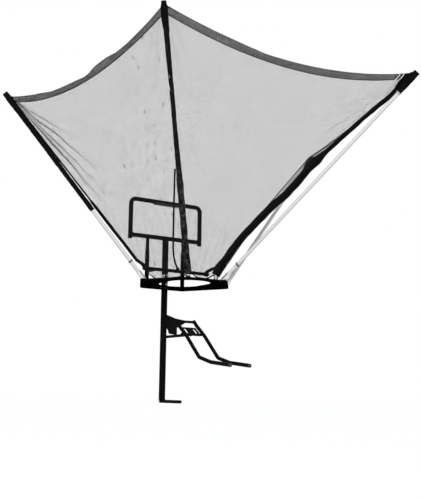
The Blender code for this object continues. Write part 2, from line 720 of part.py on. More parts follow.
def build_net():
    rear_left, front_left = POLES["rear_left"], POLES["front_left"]
    front_right, rear_right = POLES["front_right"], POLES["rear_right"]
    bar_reach = CROSS_BAR_HALF_LENGTH
    edges = {}
    for corner, neighbour, sign in (("rear_left", front_left, -1), ("rear_right", front_right, 1)):
        pole = POLES[corner]
        bar_end = Vector((sign * bar_reach, CROSS_BAR_Y, CROSS_BAR_Z))
        reach = (pole.tip - bar_end).normalized()
        seat = bar_end + reach * (CROSS_BAR_RADIUS * 2)
        foot = seat + reach * BAND_STRAP_LENGTH
        across = neighbour.tip - pole.tip
        behind = across.cross(pole.axis).normalized() * sign
        centre = edge_on_band(pole, foot, behind, BAND_THICKNESS / 2)
        way = (centre[-1] - centre[0]).normalized()
        width_way = (across - way * across.dot(way)).normalized()
        build_band(f"corner_band_{corner}", centre, width_way)
        half = width_way * (BAND_STRAP_WIDTH / 2)
        strap_top = foot - reach * SEAM_GAP
        strap = [[seat - half, strap_top - half], [seat + half, strap_top + half]]
        sheet(f"band_strap_{corner}", strap, BAND_THICKNESS, "black_webbing")
        edges[corner] = shifted(centre, width_way, BAND_WIDTH / 2 + SEAM_GAP)

    towards_middle = Vector((0, DROP_HOLE_Y, REAR_TIP_Z))
    inward = front_right.side_towards(towards_middle)
    foot = front_right.at(FRONT_BAND_FOOT_RISE) + inward * FRONT_BAND_FOOT_OFFSET
    centre = edge_on_band(front_right, foot, inward, BAND_THICKNESS / 2, FRONT_BAND_BOW)
    width_way = front_right.axis.cross(inward).normalized()
    build_band("corner_band_front_right", centre, width_way)
    lip = BAND_WIDTH / 2 + SEAM_GAP
    edge_a = shifted(centre, width_way, lip)
    edge_b = shifted(centre, width_way, -lip)
    front_edge, side_edge = (edge_a, edge_b) if edge_a[0].x < edge_b[0].x else (edge_b, edge_a)

    sleeve_line = [
        front_left.below_tip(BAND_TOP_DROP).lerp(front_left.at(POLE_SLEEVE_FOOT), row / NET_ROWS)
        for row in range(NET_ROWS + 1)
    ]
    stand_off = POCKET_RADIUS + SEAM_GAP
    left_way = front_left.side_towards(rear_left.tip)
    front_way = front_left.side_towards(front_right.tip)
    build_panel("left", edges["rear_left"], shifted(sleeve_line, left_way, stand_off),
                LEFT_HEM_SAG, SIDE_BOTTOM_SAG)
    build_panel("front", shifted(sleeve_line, front_way, stand_off), front_edge, FRONT_HEM_SAG,
                FRONT_BOTTOM_SAG)
    build_panel("right", side_edge, edges["rear_right"], RIGHT_HEM_SAG, SIDE_BOTTOM_SAG)


def build_draw_cord():
    path = smooth_path(DRAW_CORD_ROUTE, DRAW_CORD_SPAN_STEPS)
    rod("draw_cord", path, DRAW_CORD_RADIUS, "black_webbing", THIN_CURVE_RESOLUTION)


def build_mast():
    path = straight((0, 0, MAST_BOTTOM), (0, 0, STRUT_TOP))
    pipe("mast", path, MAST_RADIUS, MAST_WALL, "black_steel", resolution=MAST_RESOLUTION)
    head_radius = POST_BORE - SLIDE_GAP
    thread_top = NUT_TOP
    spindle = [
        (0, MAST_BOTTOM + SPINDLE_HEAD_LENGTH), (head_radius, MAST_BOTTOM + SPINDLE_HEAD_LENGTH),
        (head_radius, MAST_BOTTOM), (SPINDLE_RADIUS, MAST_BOTTOM), (SPINDLE_RADIUS, thread_top),
        (SPINDLE_THREAD_RADIUS, thread_top), (SPINDLE_THREAD_RADIUS, thread_top - SPINDLE_THREAD_LENGTH),
        (0, thread_top - SPINDLE_THREAD_LENGTH),
    ]
    turned("swivel_spindle", spindle, "zinc_steel")
    bore = SPINDLE_RADIUS + SLIDE_GAP
    collar = [
        (COLLAR_RADIUS - COLLAR_CHAMFER, COLLAR_TOP), (COLLAR_RADIUS, COLLAR_TOP - COLLAR_CHAMFER),
        (COLLAR_RADIUS, COLLAR_BOTTOM + COLLAR_CHAMFER), (COLLAR_RADIUS - COLLAR_CHAMFER, COLLAR_BOTTOM),
        (bore, COLLAR_BOTTOM), (bore, COLLAR_TOP),
    ]
    turned("swivel_collar", collar, "chrome")
    thread_bore = SPINDLE_THREAD_RADIUS + SLIDE_GAP
    build_nut(thread_bore)
    bearing_bore = POST_RADIUS + SLIDE_GAP
    bearing_outer = bearing_bore + BEARING_WALL
    flange_bottom = PLATE_TOP + SEAT_GAP
    bearing = [
        (BEARING_FLANGE_RADIUS, flange_bottom + BEARING_FLANGE_HEIGHT),
        (BEARING_FLANGE_RADIUS, flange_bottom), (bearing_outer, flange_bottom),
        (bearing_outer, PLATE_BOTTOM), (bearing_bore, PLATE_BOTTOM),
        (bearing_bore, flange_bottom + BEARING_FLANGE_HEIGHT),
    ]
    turned("plate_bearing", bearing, "bearing_plastic")


def build_nut(bore):
    bm = bmesh.new()
    bmesh.ops.create_cone(
        bm, cap_ends=True, segments=NUT_SIDES, radius1=NUT_RADIUS, radius2=NUT_RADIUS, depth=NUT_HEIGHT)
    bmesh.ops.translate(bm, vec=(0, 0, NUT_TOP - NUT_HEIGHT / 2), verts=bm.verts)
    nut = mesh_piece("spindle_nut", bm, "zinc_steel")
    top = NUT_TOP + CUT_OVERRUN
    bottom = NUT_TOP - NUT_HEIGHT - CUT_OVERRUN
    cut(nut, round_cutter("nut_bore", bore, (0, 0, bottom), (0, 0, top), ROUND_STEPS))


def build_post():
    post = pipe("swivel_post", straight((0, 0, POST_BOTTOM), (0, 0, POST_TOP)), POST_RADIUS, MAST_WALL,
                "black_steel", resolution=POST_RESOLUTION)
    bush_radius = POST_BORE - SLIDE_GAP
    bush_bore = SPINDLE_RADIUS + SLIDE_GAP
    flange_bottom = BUSH_TOP - BUSH_FLANGE_HEIGHT
    profile = [
        (POST_RADIUS, BUSH_TOP), (POST_RADIUS, flange_bottom), (bush_radius, flange_bottom),
        (bush_radius, BUSH_BOTTOM), (bush_bore, BUSH_BOTTOM), (bush_bore, BUSH_TOP),
    ]
    bush = turned("swivel_bush", profile, "bearing_plastic")
    screw_z = POST_TOP - POST_SCREW_DROP
    inner = bush_radius - POST_SCREW_BITE
    drill = round_cutter("screw_drill", POST_SCREW_RADIUS + SLIDE_GAP, (0, -inner + SLIDE_GAP, screw_z),
                         (0, -POST_RADIUS - CUT_OVERRUN, screw_z))
    cut(post, drill)
    cut(bush, drill)
    seat = POST_RADIUS + SEAT_GAP
    screw = [
        (0, seat + POST_SCREW_HEAD_LENGTH), (POST_SCREW_HEAD_RADIUS, seat + POST_SCREW_HEAD_LENGTH),
        (POST_SCREW_HEAD_RADIUS, seat), (POST_SCREW_RADIUS, seat), (POST_SCREW_RADIUS, inner), (0, inner),
    ]
    turned("post_screw", screw, "zinc_steel", SMALL_ROUND_STEPS, (0, 0, screw_z), -REAR)
    handle = straight((0, POST_RADIUS, HANDLE_Z), (0, -HANDLE_REACH, HANDLE_Z))
    rod("steering_handle", handle, HANDLE_RADIUS, "black_steel", ROD_RESOLUTION)


def in_chute(place, x=0):
    """A point from its reach in front of the post and its drop below the post's top."""
    reach, drop = place
    return Vector((x, -reach, POST_TOP - drop))


def build_chute():
    corners = [RAIL_START, RAIL_KNEE, RAIL_DROP, RAIL_FLOOR, RAIL_RUN, RAIL_TIP]
    tip_way = (in_chute(RAIL_TIP) - in_chute(RAIL_RUN)).normalized()
    bore = RAIL_RADIUS - RAIL_WALL - SLIDE_GAP
    plug = [
        (0, RAIL_PLUG_HEAD), (RAIL_RADIUS, RAIL_PLUG_HEAD), (RAIL_RADIUS, SEAT_GAP), (bore, SEAT_GAP),
        (bore, -RAIL_PLUG_DEPTH), (0, -RAIL_PLUG_DEPTH),
    ]
    for side, sign in (("left", -1), ("right", 1)):
        x = sign * RAIL_HALF_SPACING
        path = rounded_path([in_chute(corner, x) for corner in corners], RAIL_BEND_RADIUS)
        pipe(f"chute_rail_{side}", path, RAIL_RADIUS, RAIL_WALL, "black_steel")
        turned(f"rail_plug_{side}", plug, "black_plastic", SMALL_ROUND_STEPS, in_chute(RAIL_TIP, x),
               tip_way)
    reach = RAIL_HALF_SPACING - RAIL_RADIUS - SEAT_GAP
    start = in_chute(RAIL_START)
    along = (in_chute(RAIL_KNEE) - start).normalized()
    upper = start + along * CROSS_TUBE_RADIUS
    span = straight(upper - RIGHT * reach, upper + RIGHT * reach)
    rod("chute_cross_tube_upper", span, CROSS_TUBE_RADIUS, "black_steel")
    slope_start = in_chute(RAIL_KNEE)
    slope_end = in_chute(RAIL_DROP)
    slope = (slope_end - slope_start).normalized()
    under = slope.cross(RIGHT).normalized()
    under = under if under.z < 0 else -under
    lower = slope_start.lerp(slope_end, LOWER_TUBE_SHARE)
    lower += under * (RAIL_RADIUS + SEAT_GAP + CROSS_TUBE_RADIUS)
    spread = RAIL_HALF_SPACING + LOWER_TUBE_OVERHANG
    span = straight(lower - RIGHT * spread, lower + RIGHT * spread)
    rod("chute_cross_tube_lower", span, CROSS_TUBE_RADIUS, "black_steel")
    build_cradle(slope_start, slope_end, slope, under, reach)
    brace_front = lower.y + CROSS_TUBE_RADIUS + SEAT_GAP
    brace = straight((0, -POST_RADIUS - SEAT_GAP, lower.z), (0, brace_front, lower.z))
    rod("chute_brace", brace, BRACE_RADIUS, "black_steel")
    build_gusset(upper, lower.z + BRACE_RADIUS + SEAT_GAP)


def build_cradle(slope_start, slope_end, slope, under, half_width):
    """The slotted plate between the rails, lying on the lower cross tube."""
    length = (slope_end - slope_start).length
    low = CRADLE_END_MARGIN
    high = length - CRADLE_END_MARGIN
    edge = [(-half_width, low), (half_width, low), (half_width, high), (-half_width, high)]
    outer = half_width - CRADLE_SLIT_INSET
    inner = outer - CRADLE_SLIT_WIDTH
    start = low + CRADLE_SLIT_INSET
    end = high - CRADLE_SLIT_INSET
    slits = []
    for near, far in ((-outer, -inner), (inner, outer)):
        slits.append([(near, start), (far, start), (far, end), (near, end)])
    plate = slab("chute_cradle", [edge, *slits], CRADLE_THICKNESS, "black_steel")
    sink = RAIL_RADIUS - CRADLE_THICKNESS / 2
    turn = Matrix((RIGHT, slope, RIGHT.cross(slope))).transposed().to_4x4()
    plate.matrix_world = Matrix.Translation(slope_start + under * sink) @ turn


def build_gusset(upper_tube, floor):
    """The web plate between the post, the upper cross tube and the brace, in the plane of the post."""
    back = -POST_RADIUS - SEAT_GAP
    nose = upper_tube.y + CROSS_TUBE_RADIUS + SEAT_GAP
    half_nose = GUSSET_NOSE_HEIGHT / 2
    top = POST_TOP - GUSSET_TOP_DROP
    shoulder = in_chute(GUSSET_SHOULDER)
    outline = [
        (back, top), (shoulder.y, shoulder.z), (nose, upper_tube.z + half_nose),
        (nose, upper_tube.z - half_nose),
        (-GUSSET_TOE_FRONT_REACH, upper_tube.z - GUSSET_NOSE_HEIGHT * 2),
        (-GUSSET_TOE_FRONT_REACH, floor), (-GUSSET_TOE_REAR_REACH, floor),
        (-GUSSET_HEEL_REACH, floor + GUSSET_HEEL_RISE), (-GUSSET_NOTCH_REACH, floor + GUSSET_NOTCH_RISE),
        (back, top - GUSSET_NECK),
    ]
    web = slab("chute_gusset", [outline], GUSSET_THICKNESS, "black_steel")
    web.matrix_world = Matrix((REAR, UP, RIGHT)).transposed().to_4x4()


def hang_on_swivel(names):
    """Parent the moving pieces to an empty on the swivel's axis, leaving them where they are."""
    swivel = bpy.data.objects.new("chute_swivel", None)
    swivel.location = (0, 0, POST_TOP)
    PARTS.objects.link(swivel)
    bpy.context.view_layer.update()
    for name in names:
        piece = PARTS.objects[name]
        piece.parent = swivel
        piece.matrix_parent_inverse = swivel.matrix_world.inverted()


build_hanger()
build_pad()
build_struts()
build_plate()
build_cross_bar()
for corner_name in POLES:
    build_pole(corner_name)
build_pole_fabric()
build_net()
build_draw_cord()
build_mast()
still = set(PARTS.objects.keys())
build_post()
build_chute()
hang_on_swivel([name for name in PARTS.objects.keys() if name not in still])
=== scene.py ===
"""Looks of the hanging return net: coated steel, white poles, fine mesh funnel, webbing and cord.

Every piece is worked out in the frame's own metres: +Z up, -Y to the front, origin under the hanger's pad.
"""
import json
import math

import bmesh
import bpy
import numpy as np
from mathutils import Matrix, Vector


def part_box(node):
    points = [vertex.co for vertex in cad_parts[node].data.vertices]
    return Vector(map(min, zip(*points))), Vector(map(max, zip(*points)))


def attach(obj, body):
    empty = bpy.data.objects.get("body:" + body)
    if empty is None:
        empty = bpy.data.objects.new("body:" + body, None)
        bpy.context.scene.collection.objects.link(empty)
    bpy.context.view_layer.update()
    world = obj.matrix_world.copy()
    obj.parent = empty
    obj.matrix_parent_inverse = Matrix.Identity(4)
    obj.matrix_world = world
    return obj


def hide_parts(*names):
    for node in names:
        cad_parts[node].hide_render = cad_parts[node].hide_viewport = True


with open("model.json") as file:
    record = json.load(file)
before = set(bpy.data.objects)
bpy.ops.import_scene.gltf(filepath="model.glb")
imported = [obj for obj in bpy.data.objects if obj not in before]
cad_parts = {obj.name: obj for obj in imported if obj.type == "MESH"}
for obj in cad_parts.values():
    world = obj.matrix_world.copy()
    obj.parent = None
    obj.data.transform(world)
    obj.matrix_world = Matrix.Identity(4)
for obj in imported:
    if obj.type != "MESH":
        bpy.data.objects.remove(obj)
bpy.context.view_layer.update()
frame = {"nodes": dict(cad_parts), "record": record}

TAU = 2 * math.pi
NODES = frame["nodes"]
SLOT_OF = {part["node"]: part["material_slot"] for part in frame["record"]["subparts"]}

# Camera: the place, turn and lens that the photograph's view was solved to
CAMERA_PLACE = (-2.6247, -4.7043, -1.1989)
CAMERA_AZIMUTH = math.radians(32.28979)
CAMERA_ELEVATION = math.radians(9.59420)
CAMERA_ROLL = math.radians(0.82957)
CAMERA_LENS = 60.256
SENSOR_SIZE = 36.0

# Stage
FLOOR_Z = -3.0
FLOOR_SIZE = 400.0
FLOOR_LIFT = 0.76

# Sizes shared with the construction
PLATE_TOP = -0.5375
POLE_RADIUS = 0.011
POCKET_RADIUS = 0.017
POCKET_LENGTH = 0.130
LONG_POCKET_POLE_SHARE = 0.62
FRONT_LEFT_FOOT_RISE = 0.036
SLEEVE_END_RISE = 0.036
SEAM_GAP = 0.0008
BAND_TOP_DROP = 0.020
EMPTY_SLEEVE_TOP_DROP = -0.004
BAND_WIDTH = 0.028
BAND_THICKNESS = 0.0024
BAND_STRAP_LENGTH = 0.030
BAND_STRAP_WIDTH = 0.020
CROSS_BAR_HALF = 0.238
CROSS_BAR_Y = -0.150
CROSS_BAR_Z = -0.451
CROSS_BAR_RADIUS = 0.011
FRONT_EDGE_FOOT_RISE = 0.020
DROP_HOLE_Y = -0.305
HEM_HEIGHT = 0.046
FOOT_BINDING_HEIGHT = 0.007
NET_SEAT = 0.004
NET_BELLY = 0.030
SAG_FADE_POWER = 1.6
CORD_RADIUS = 0.005
CORD_ROUTE = [
    (-0.4605, -0.9095, -0.0214),
    (-0.4613, -0.9095, -0.1600),
    (-0.4613, -0.9095, -0.3000),
    (-0.4611, -0.9095, -0.4200),
    (-0.4583, -0.9095, -0.4800),
    (-0.4483, -0.9095, -0.5250),
    (-0.4313, -0.9095, -0.5620),
]

# Centre line of the empty sleeve beside the front right pole: distance up the pole, offset inwards
EMPTY_SLEEVE_LINE = [
    (1.475, 0.025), (1.369, 0.040), (1.264, 0.053), (1.161, 0.063), (1.058, 0.072), (0.953, 0.082),
    (0.852, 0.087), (0.761, 0.082), (0.665, 0.080), (0.614, 0.082), (0.555, 0.091), (0.454, 0.096),
    (0.353, 0.0975), (0.255, 0.097), (0.164, 0.088), (0.124, 0.080), (0.074, 0.0745), (0.031, 0.067),
    (-0.006, 0.055),
]
# Half the width of the front left pole's sleeve at each distance below the tip
SLEEVE_BELOW_TIP = [0.130, 0.164, 0.375, 0.586, 0.797, 0.938, 1.008, 1.430, 1.500, 1.573, 1.612]
SLEEVE_HALF_WIDTHS = [0.0155, 0.0140, 0.0120, 0.0119, 0.0134, 0.0158, 0.0180, 0.0185, 0.0200, 0.0215, 0.0205]
# The way that the flattened cloth faces: the middle of the net's open front
FACING = (0.52673, 0.83353, 0.16667)

# Foot and tip of each pole
POLE_ENDS = {
    "rear_left": ((-0.292, -0.268, PLATE_TOP), (-1.150, -0.104, 0.4945)),
    "front_left": ((-0.120, -0.500, PLATE_TOP), (-0.834, -1.423, 0.6265)),
    "front_right": ((0.120, -0.500, PLATE_TOP), (0.834, -1.423, 0.6265)),
    "rear_right": ((0.292, -0.268, PLATE_TOP), (1.150, -0.104, 0.4945)),
}

# Fineness of the modelled surfaces: columns and rows
NET_GRID = (150, 110)
HEM_GRID = (220, 12)
BINDING_GRID = (120, 5)
BAND_GRID = (160, 8)

# Mesh cloth
MESH_PITCH = 0.004
MESH_THREAD_SHARE = 0.232
NET_TUCK_AT_SIDES = 0.004
NET_TUCK_UNDER_HEM = 0.008
PANEL_SIDE_STEP = 0.012
NORMAL_STEP = 0.004
# Width of the painted shade line beside each crease, and the share of its fold along which that line is full
CREASE_SHADE_WIDTH = 0.0055
CREASE_SHADE_FULL_SHARE = 0.35
PLEAT_SPACING = 0.062
PLEAT_HEIGHT = 0.0035

# Trim
HEM_LIFT = 0.0012
HEM_FLATTEN_SHARE = 0.35
BEAD_LIFT = 0.0018
HEM_BEADS = (("edge", 0.0, 0.0016), ("seam", 0.93, 0.0010))
BINDING_THICKNESS = 0.0034
TAPE_WIDTH = 0.013
TUBE_COLUMNS = 45
TUBE_UV_RADIUS = 0.0165
SNUG_HALF_WIDTH = 0.0122
POCKET_SEAMS = (0.060, 0.066, 0.122)
BAND_ROW_SHARE = 0.36
EMPTY_SLEEVE_ROW_SHARE = 0.8
EMPTY_SLEEVE_END_SHARE = 1.016
EMPTY_SLEEVE_NARROW = 0.0135
EMPTY_SLEEVE_WIDENING = 0.0095
BULGE_RISE = 0.90
BULGE_SPREAD = 0.035
STRAP_THICKNESS = 0.0016
STRAP_GAP = 0.0021
STRAP_INSET = 0.016
STRAP_LAP = 0.012
STITCH_STEP = 0.009
STITCH_LENGTH = 0.0055
STITCH_RADIUS = 0.00045
STITCH_RISE = 0.0013
STITCH_ARCH = 0.0004
PATCH_THICKNESS = 0.0024
PATCH_LIFT = 0.0034
PATCH_OVERLAP = 0.012
PATCH_STEPS = 26
TIE_GAP = 0.0003
TIE_TURNS = 2
TIE_RADIUS = 0.0019
FOOT_TIE_RADIUS = 0.0018
FOOT_TIE_HEIGHT = 0.135
LACING_SHARES = (0.935, 0.955)
LACING_RADIUS = 0.0026
LACING_REACH = 0.007
KNOT_RADIUS = 0.0040
KNOT_TURN_RADIUS = 0.0062
KNOT_LENGTH = 0.0055
WELD_SIZE = 0.0021
WELD_GAP = 0.0002
WELD_STEPS = 72
WELD_SIDES = 10
SEAM_SIZE = 0.0022
SEAM_STEPS = 60
SOCKET_WELD_RADIUS = 0.0146
CROSS_TUBE_WELD_RADIUS = 0.0082
BRACE_WELD_RADIUS = 0.0092
GUSSET_WELD_DROPS = (0.002, 0.080)
MERGE_DISTANCE = 0.00001
SHARP_EDGE = math.radians(35)


# Arrays of points

def unit(vectors):
    """Vectors divided by their lengths."""
    vectors = np.asarray(vectors, float)
    return vectors / np.linalg.norm(vectors, axis=-1, keepdims=True)


def clear_of(vector, axis):
    """The unit vector that is left of a vector once its part along a unit axis is taken off."""
    return unit(vector - axis * (vector @ axis))


def lerp(start, end, share):
    """Points at the given shares of the way from start to end."""
    return np.asarray(start, float) + (np.asarray(end, float) - np.asarray(start, float)) * share[..., None]


def bell(distance, width):
    """1 at distance 0, falling off as a bell of that width."""
    return np.exp(-((distance / width) ** 2))


def ease(share):
    """A smooth step from 0 to 1 as share goes from 0 to 1."""
    share = np.clip(share, 0, 1)
    return share * share * (3 - 2 * share)


def ripple(x, y, seed, wavelength, count=7):
    """Soft cloth-like unevenness from -1 to 1: a sum of sine waves with seeded directions and phases."""
    random = np.random.default_rng(seed)
    total = np.zeros(np.broadcast(x, y).shape)
    for _ in range(count):
        turn = random.uniform(0, TAU)
        size = wavelength * random.uniform(0.6, 1.6)
        total += np.sin((x * math.cos(turn) + y * math.sin(turn)) * TAU / size + random.uniform(0, TAU))
    return total / math.sqrt(count * 2)


def circle(turn, first, second):
    """Points of a circle at the given turns, from one direction towards another."""
    return np.cos(turn)[:, None] * first + np.sin(turn)[:, None] * second


def paired(first, second):
    """Two coordinates at each point, such as a UV."""
    return np.stack(np.broadcast_arrays(first, second), axis=-1)


def shares_over(grid):
    """Shares across and down at each point of a grid of that many columns and rows."""
    return np.broadcast_arrays(np.linspace(0, 1, grid[0])[None, :], np.linspace(0, 1, grid[1])[:, None])


class Pole:
    """A pole's foot, tip, unit axis and length, and the way in which flattened cloth on it is wide."""

    def __init__(self, foot, tip):
        self.foot = np.array(foot)
        self.tip = np.array(tip)
        self.length = float(np.linalg.norm(self.tip - self.foot))
        self.axis = (self.tip - self.foot) / self.length
        self.across = np.cross(self.axis, FACING)
        self.wide = unit(self.across)

    def at(self, distance):
        return self.foot + np.multiply.outer(distance, self.axis)

    def below_tip(self, distance):
        return self.tip - np.multiply.outer(distance, self.axis)

    def side_towards(self, target):
        return clear_of(np.asarray(target, float) - self.foot, self.axis)


POLES = {name: Pole(*ends) for name, ends in POLE_ENDS.items()}


# Meshes

def add_object(name, data):
    """A new object in the scene, showing that data."""
    made = bpy.data.objects.new(name, data)
    bpy.context.scene.collection.objects.link(made)
    return made


def new_object(name, vertices, faces, uvs=None, folds=None):
    """A mesh object from arrays of vertices, quads or triangles, and for each vertex a UV and a fold,
    which is 1 where cloth is gathered or creased, and which on the net carries its painted crease shade."""
    mesh = bpy.data.meshes.new(name)
    vertices = np.asarray(vertices, float).reshape(-1, 3).tolist()
    mesh.from_pydata(vertices, [], [list(map(int, face)) for face in faces])
    if uvs is not None:
        layer = mesh.uv_layers.new(name="UVMap")
        corners = np.empty(len(mesh.loops), np.int32)
        mesh.loops.foreach_get("vertex_index", corners)
        layer.data.foreach_set("uv", np.asarray(uvs, np.float32).reshape(-1, 2)[corners].ravel())
    if folds is not None:
        mark = mesh.attributes.new("fold", "FLOAT", "POINT")
        mark.data.foreach_set("value", np.asarray(folds, np.float32).ravel())
    mesh.polygons.foreach_set("use_smooth", np.ones(len(mesh.polygons), bool))
    mesh.update()
    return add_object(name, mesh)


def grid_faces(rows, columns, round_columns=False):
    """Quads between neighbouring rows and columns; round_columns joins the last column to the first."""
    row = np.arange(rows - 1)[:, None] * columns
    column = np.arange(columns if round_columns else columns - 1)[None, :]
    after = (column + 1) % columns
    quads = np.stack([row + column, row + after, row + columns + after, row + columns + column], axis=-1)
    return quads.reshape(-1, 4)


def sheet_object(name, points, uvs, thickness=0.0, folds=None):
    """A cloth surface: a grid of points, with Solidify for its thickness."""
    rows, columns = points.shape[:2]
    made = new_object(name, points, grid_faces(rows, columns), uvs, folds)
    if thickness:
        solid = made.modifiers.new("thickness", "SOLIDIFY")
        solid.thickness = thickness
        solid.offset = 0
    return made


def tube_object(name, rings, uvs, folds=None):
    """A tube from rings of points. The last column repeats the first, so that the UV runs right round,
    and the two are merged. Each end is closed by a fan to its middle."""
    rows, columns = rings.shape[:2]
    vertices = np.vstack([rings.reshape(-1, 3), rings[0, :-1].mean(0), rings[-1, :-1].mean(0)])
    all_uvs = np.vstack([uvs.reshape(-1, 2), uvs[0].mean(0), uvs[-1].mean(0)])
    if folds is not None:
        folds = np.concatenate([np.ravel(folds), [0, 0]])
    column = np.arange(columns - 1)
    first_middle = np.full(columns - 1, rows * columns)
    last_row = (rows - 1) * columns
    faces = grid_faces(rows, columns).tolist()
    faces += np.stack([first_middle, column + 1, column], axis=-1).tolist()
    faces += np.stack([first_middle + 1, last_row + column, last_row + column + 1], axis=-1).tolist()
    made = new_object(name, vertices, faces, all_uvs, folds)
    face_outwards(made)
    return made


def face_outwards(piece):
    """Turn a closed mesh's faces outwards, after merging its doubles."""
    bm = bmesh.new()
    bm.from_mesh(piece.data)
    bmesh.ops.remove_doubles(bm, verts=bm.verts, dist=MERGE_DISTANCE)
    bmesh.ops.recalc_face_normals(bm, faces=bm.faces)
    bm.to_mesh(piece.data)
    bm.free()


def grid_area(points):
    """Area of a grid of points: half the cross product of each quad's diagonals."""
    first = points[1:, 1:] - points[:-1, :-1]
    second = points[1:, :-1] - points[:-1, 1:]
    return float(np.linalg.norm(np.cross(first, second), axis=-1).sum() / 2)


def square_to(tangent, reference):
    """Two unit vectors square to each tangent, the first nearest to a reference."""
    side = np.broadcast_to(np.asarray(reference, float), tangent.shape)
    side = unit(side - tangent * (side * tangent).sum(1, keepdims=True))
    return side, np.cross(tangent, side)


def cross_frames(path, reference):
    """Two unit vectors square to a path at each of its points, the first nearest to a reference."""
    return square_to(unit(np.gradient(np.asarray(path, float), axis=0)), reference)


def run_along(path):
    """Distance of each point of a path from its start, along the path."""
    return np.concatenate([[0], np.cumsum(np.linalg.norm(np.diff(path, axis=0), axis=1))])


def swept(name, path, radius, sides, reference):
    """A round section of that radius, one for all or one for each point, carried along a path."""
    path = np.asarray(path, float)
    side, other = cross_frames(path, reference)
    radius = np.broadcast_to(np.asarray(radius, float), (len(path),))
    turn = np.linspace(0, TAU, sides + 1)
    ring = circle(turn, side[:, None], other[:, None])
    rings = path[:, None] + ring * radius[:, None, None]
    return tube_object(name, rings, paired(turn[None, :] * radius.mean(), run_along(path)[:, None]))


def flat_tube(name, centre, wide, half_width, half_depth, seed, slack, folds=None):
    """A sleeve of cloth along a centre line: at each point an ellipse, wide along one way and shallow
    square to it, roughened by two soft ripples that close up round the sleeve."""
    centre = np.asarray(centre, float)
    side, deep = cross_frames(centre, wide)
    along = run_along(centre)[:, None]
    turn = np.linspace(0, TAU, TUBE_COLUMNS)[None, :]
    puff = ripple(np.cos(turn) * 0.017, along + np.sin(turn) * 0.013, seed, 0.050)
    puff = puff + 0.8 * ripple(np.cos(turn) * 0.013, along * 0.2 + np.sin(turn) * 0.013, seed + 1, 0.014)
    width = np.broadcast_to(half_width, (len(centre),))[:, None] + puff * slack
    depth = np.broadcast_to(half_depth, (len(centre),))[:, None] + puff * slack
    aside = (np.cos(turn) * width)[..., None] * side[:, None]
    away = (np.sin(turn) * depth)[..., None] * deep[:, None]
    if folds is not None:
        folds = np.broadcast_to(folds[:, None], puff.shape)
    uvs = paired(turn * TUBE_UV_RADIUS, along)
    return tube_object(name, centre[:, None] + (aside + away), uvs, folds)


def smooth_path(route, span_steps):
    """Points read from a smooth curve that runs through every point of a route."""
    route = np.asarray(route, float)
    ends = np.vstack([2 * route[0] - route[1], route, 2 * route[-1] - route[-2]])
    share = np.linspace(0, 1, span_steps, endpoint=False)[None, :, None]
    before, first, second, after = (ends[i:i + len(route) - 1, None] for i in range(4))
    way_in = (second - before) / 2
    way_out = (after - first) / 2
    curve = first * (1 + 2 * share) * (1 - share) ** 2 + second * share ** 2 * (3 - 2 * share)
    curve = curve + way_in * share * (1 - share) ** 2 - way_out * share ** 2 * (1 - share)
    return np.vstack([curve.reshape(-1, 3), route[-1:]])


# Shaders

VECTOR = "NodeSocketVector"
FLOAT = "NodeSocketFloat"
COLOUR = "NodeSocketColor"


def opaque(colour):
    """A colour's three parts with full cover."""
    return (*colour, 1)


def spaced(values):
    """Values under the sockets' own labels, which have spaces for the underscores."""
    return {label.replace("_", " "): value for label, value in values.items()}


class Graph:
    """A node tree being built: nodes by kind, with values fed to their sockets."""

    def __init__(self, tree):
        self.tree = tree

    def feed(self, socket, value):
        """Set a socket to a value, or link it to another node's output."""
        if isinstance(value, bpy.types.NodeSocket):
            self.tree.links.new(value, socket)
        else:
            socket.default_value = value

    def node(self, kind, feeds=(), **settings):
        made = self.tree.nodes.new(kind)
        for key, value in settings.items():
            setattr(made, key, value)
        for socket, value in dict(feeds).items():
            self.feed(made.inputs[socket], value)
        return made

    def math(self, operation, *values):
        return self.node("ShaderNodeMath", enumerate(values), operation=operation).outputs[0]

    def times(self, first, second):
        return self.math("MULTIPLY", first, second)

    def plus(self, first, second):
        return self.math("ADD", first, second)

    def less(self, first, second):
        return self.math("SUBTRACT", first, second)

    def noise(self, vector, scale, detail=2.0, roughness=0.5):
        feeds = {"Vector": vector, "Scale": scale, "Detail": detail, "Roughness": roughness}
        return self.node("ShaderNodeTexNoise", feeds).outputs["Fac"]

    def scaled(self, vector, scale):
        return self.node("ShaderNodeVectorMath", {0: vector, 1: scale}, operation="MULTIPLY").outputs[0]

    def remap(self, value, low, high, to_low=0.0, to_high=1.0):
        feeds = {"Value": value, "From Min": low, "From Max": high, "To Min": to_low, "To Max": to_high}
        return self.node("ShaderNodeMapRange", feeds).outputs["Result"]

    def mix(self, factor, first, second, blend="MIX"):
        feeds = {"Factor": factor, "A": first, "B": second}
        return self.node("ShaderNodeMix", feeds, data_type="RGBA", blend_type=blend).outputs["Result"]

    def bump(self, height, strength, distance):
        feeds = {"Height": height, "Strength": strength, "Distance": distance}
        return self.node("ShaderNodeBump", feeds).outputs["Normal"]


class Group(Graph):
    """A node group that materials share. Each is built once."""

    def __init__(self, name, inputs, outputs):
        super().__init__(bpy.data.node_groups.new(name, "ShaderNodeTree"))
        for way, sockets in (("INPUT", inputs), ("OUTPUT", outputs)):
            for label, kind in sockets.items():
                self.tree.interface.new_socket(label, in_out=way, socket_type=kind)
        self.given = self.node("NodeGroupInput").outputs
        self.results = self.node("NodeGroupOutput").inputs

    def gives(self, **values):
        """Link the group's outputs, and return its tree."""
        for label, value in values.items():
            self.feed(self.results[label], value)
        return self.tree

    def counted(self, size):
        """The two parts of the group's UV, counted in steps of one of its sizes."""
        parts = self.node("ShaderNodeSeparateXYZ", {0: self.given["UV"]}).outputs
        return [self.math("DIVIDE", parts[axis], self.given[size]) for axis in "XY"]

    def wave(self, value):
        """A sine that crosses 0 at each whole number."""
        return self.math("SINE", self.times(value, math.pi))


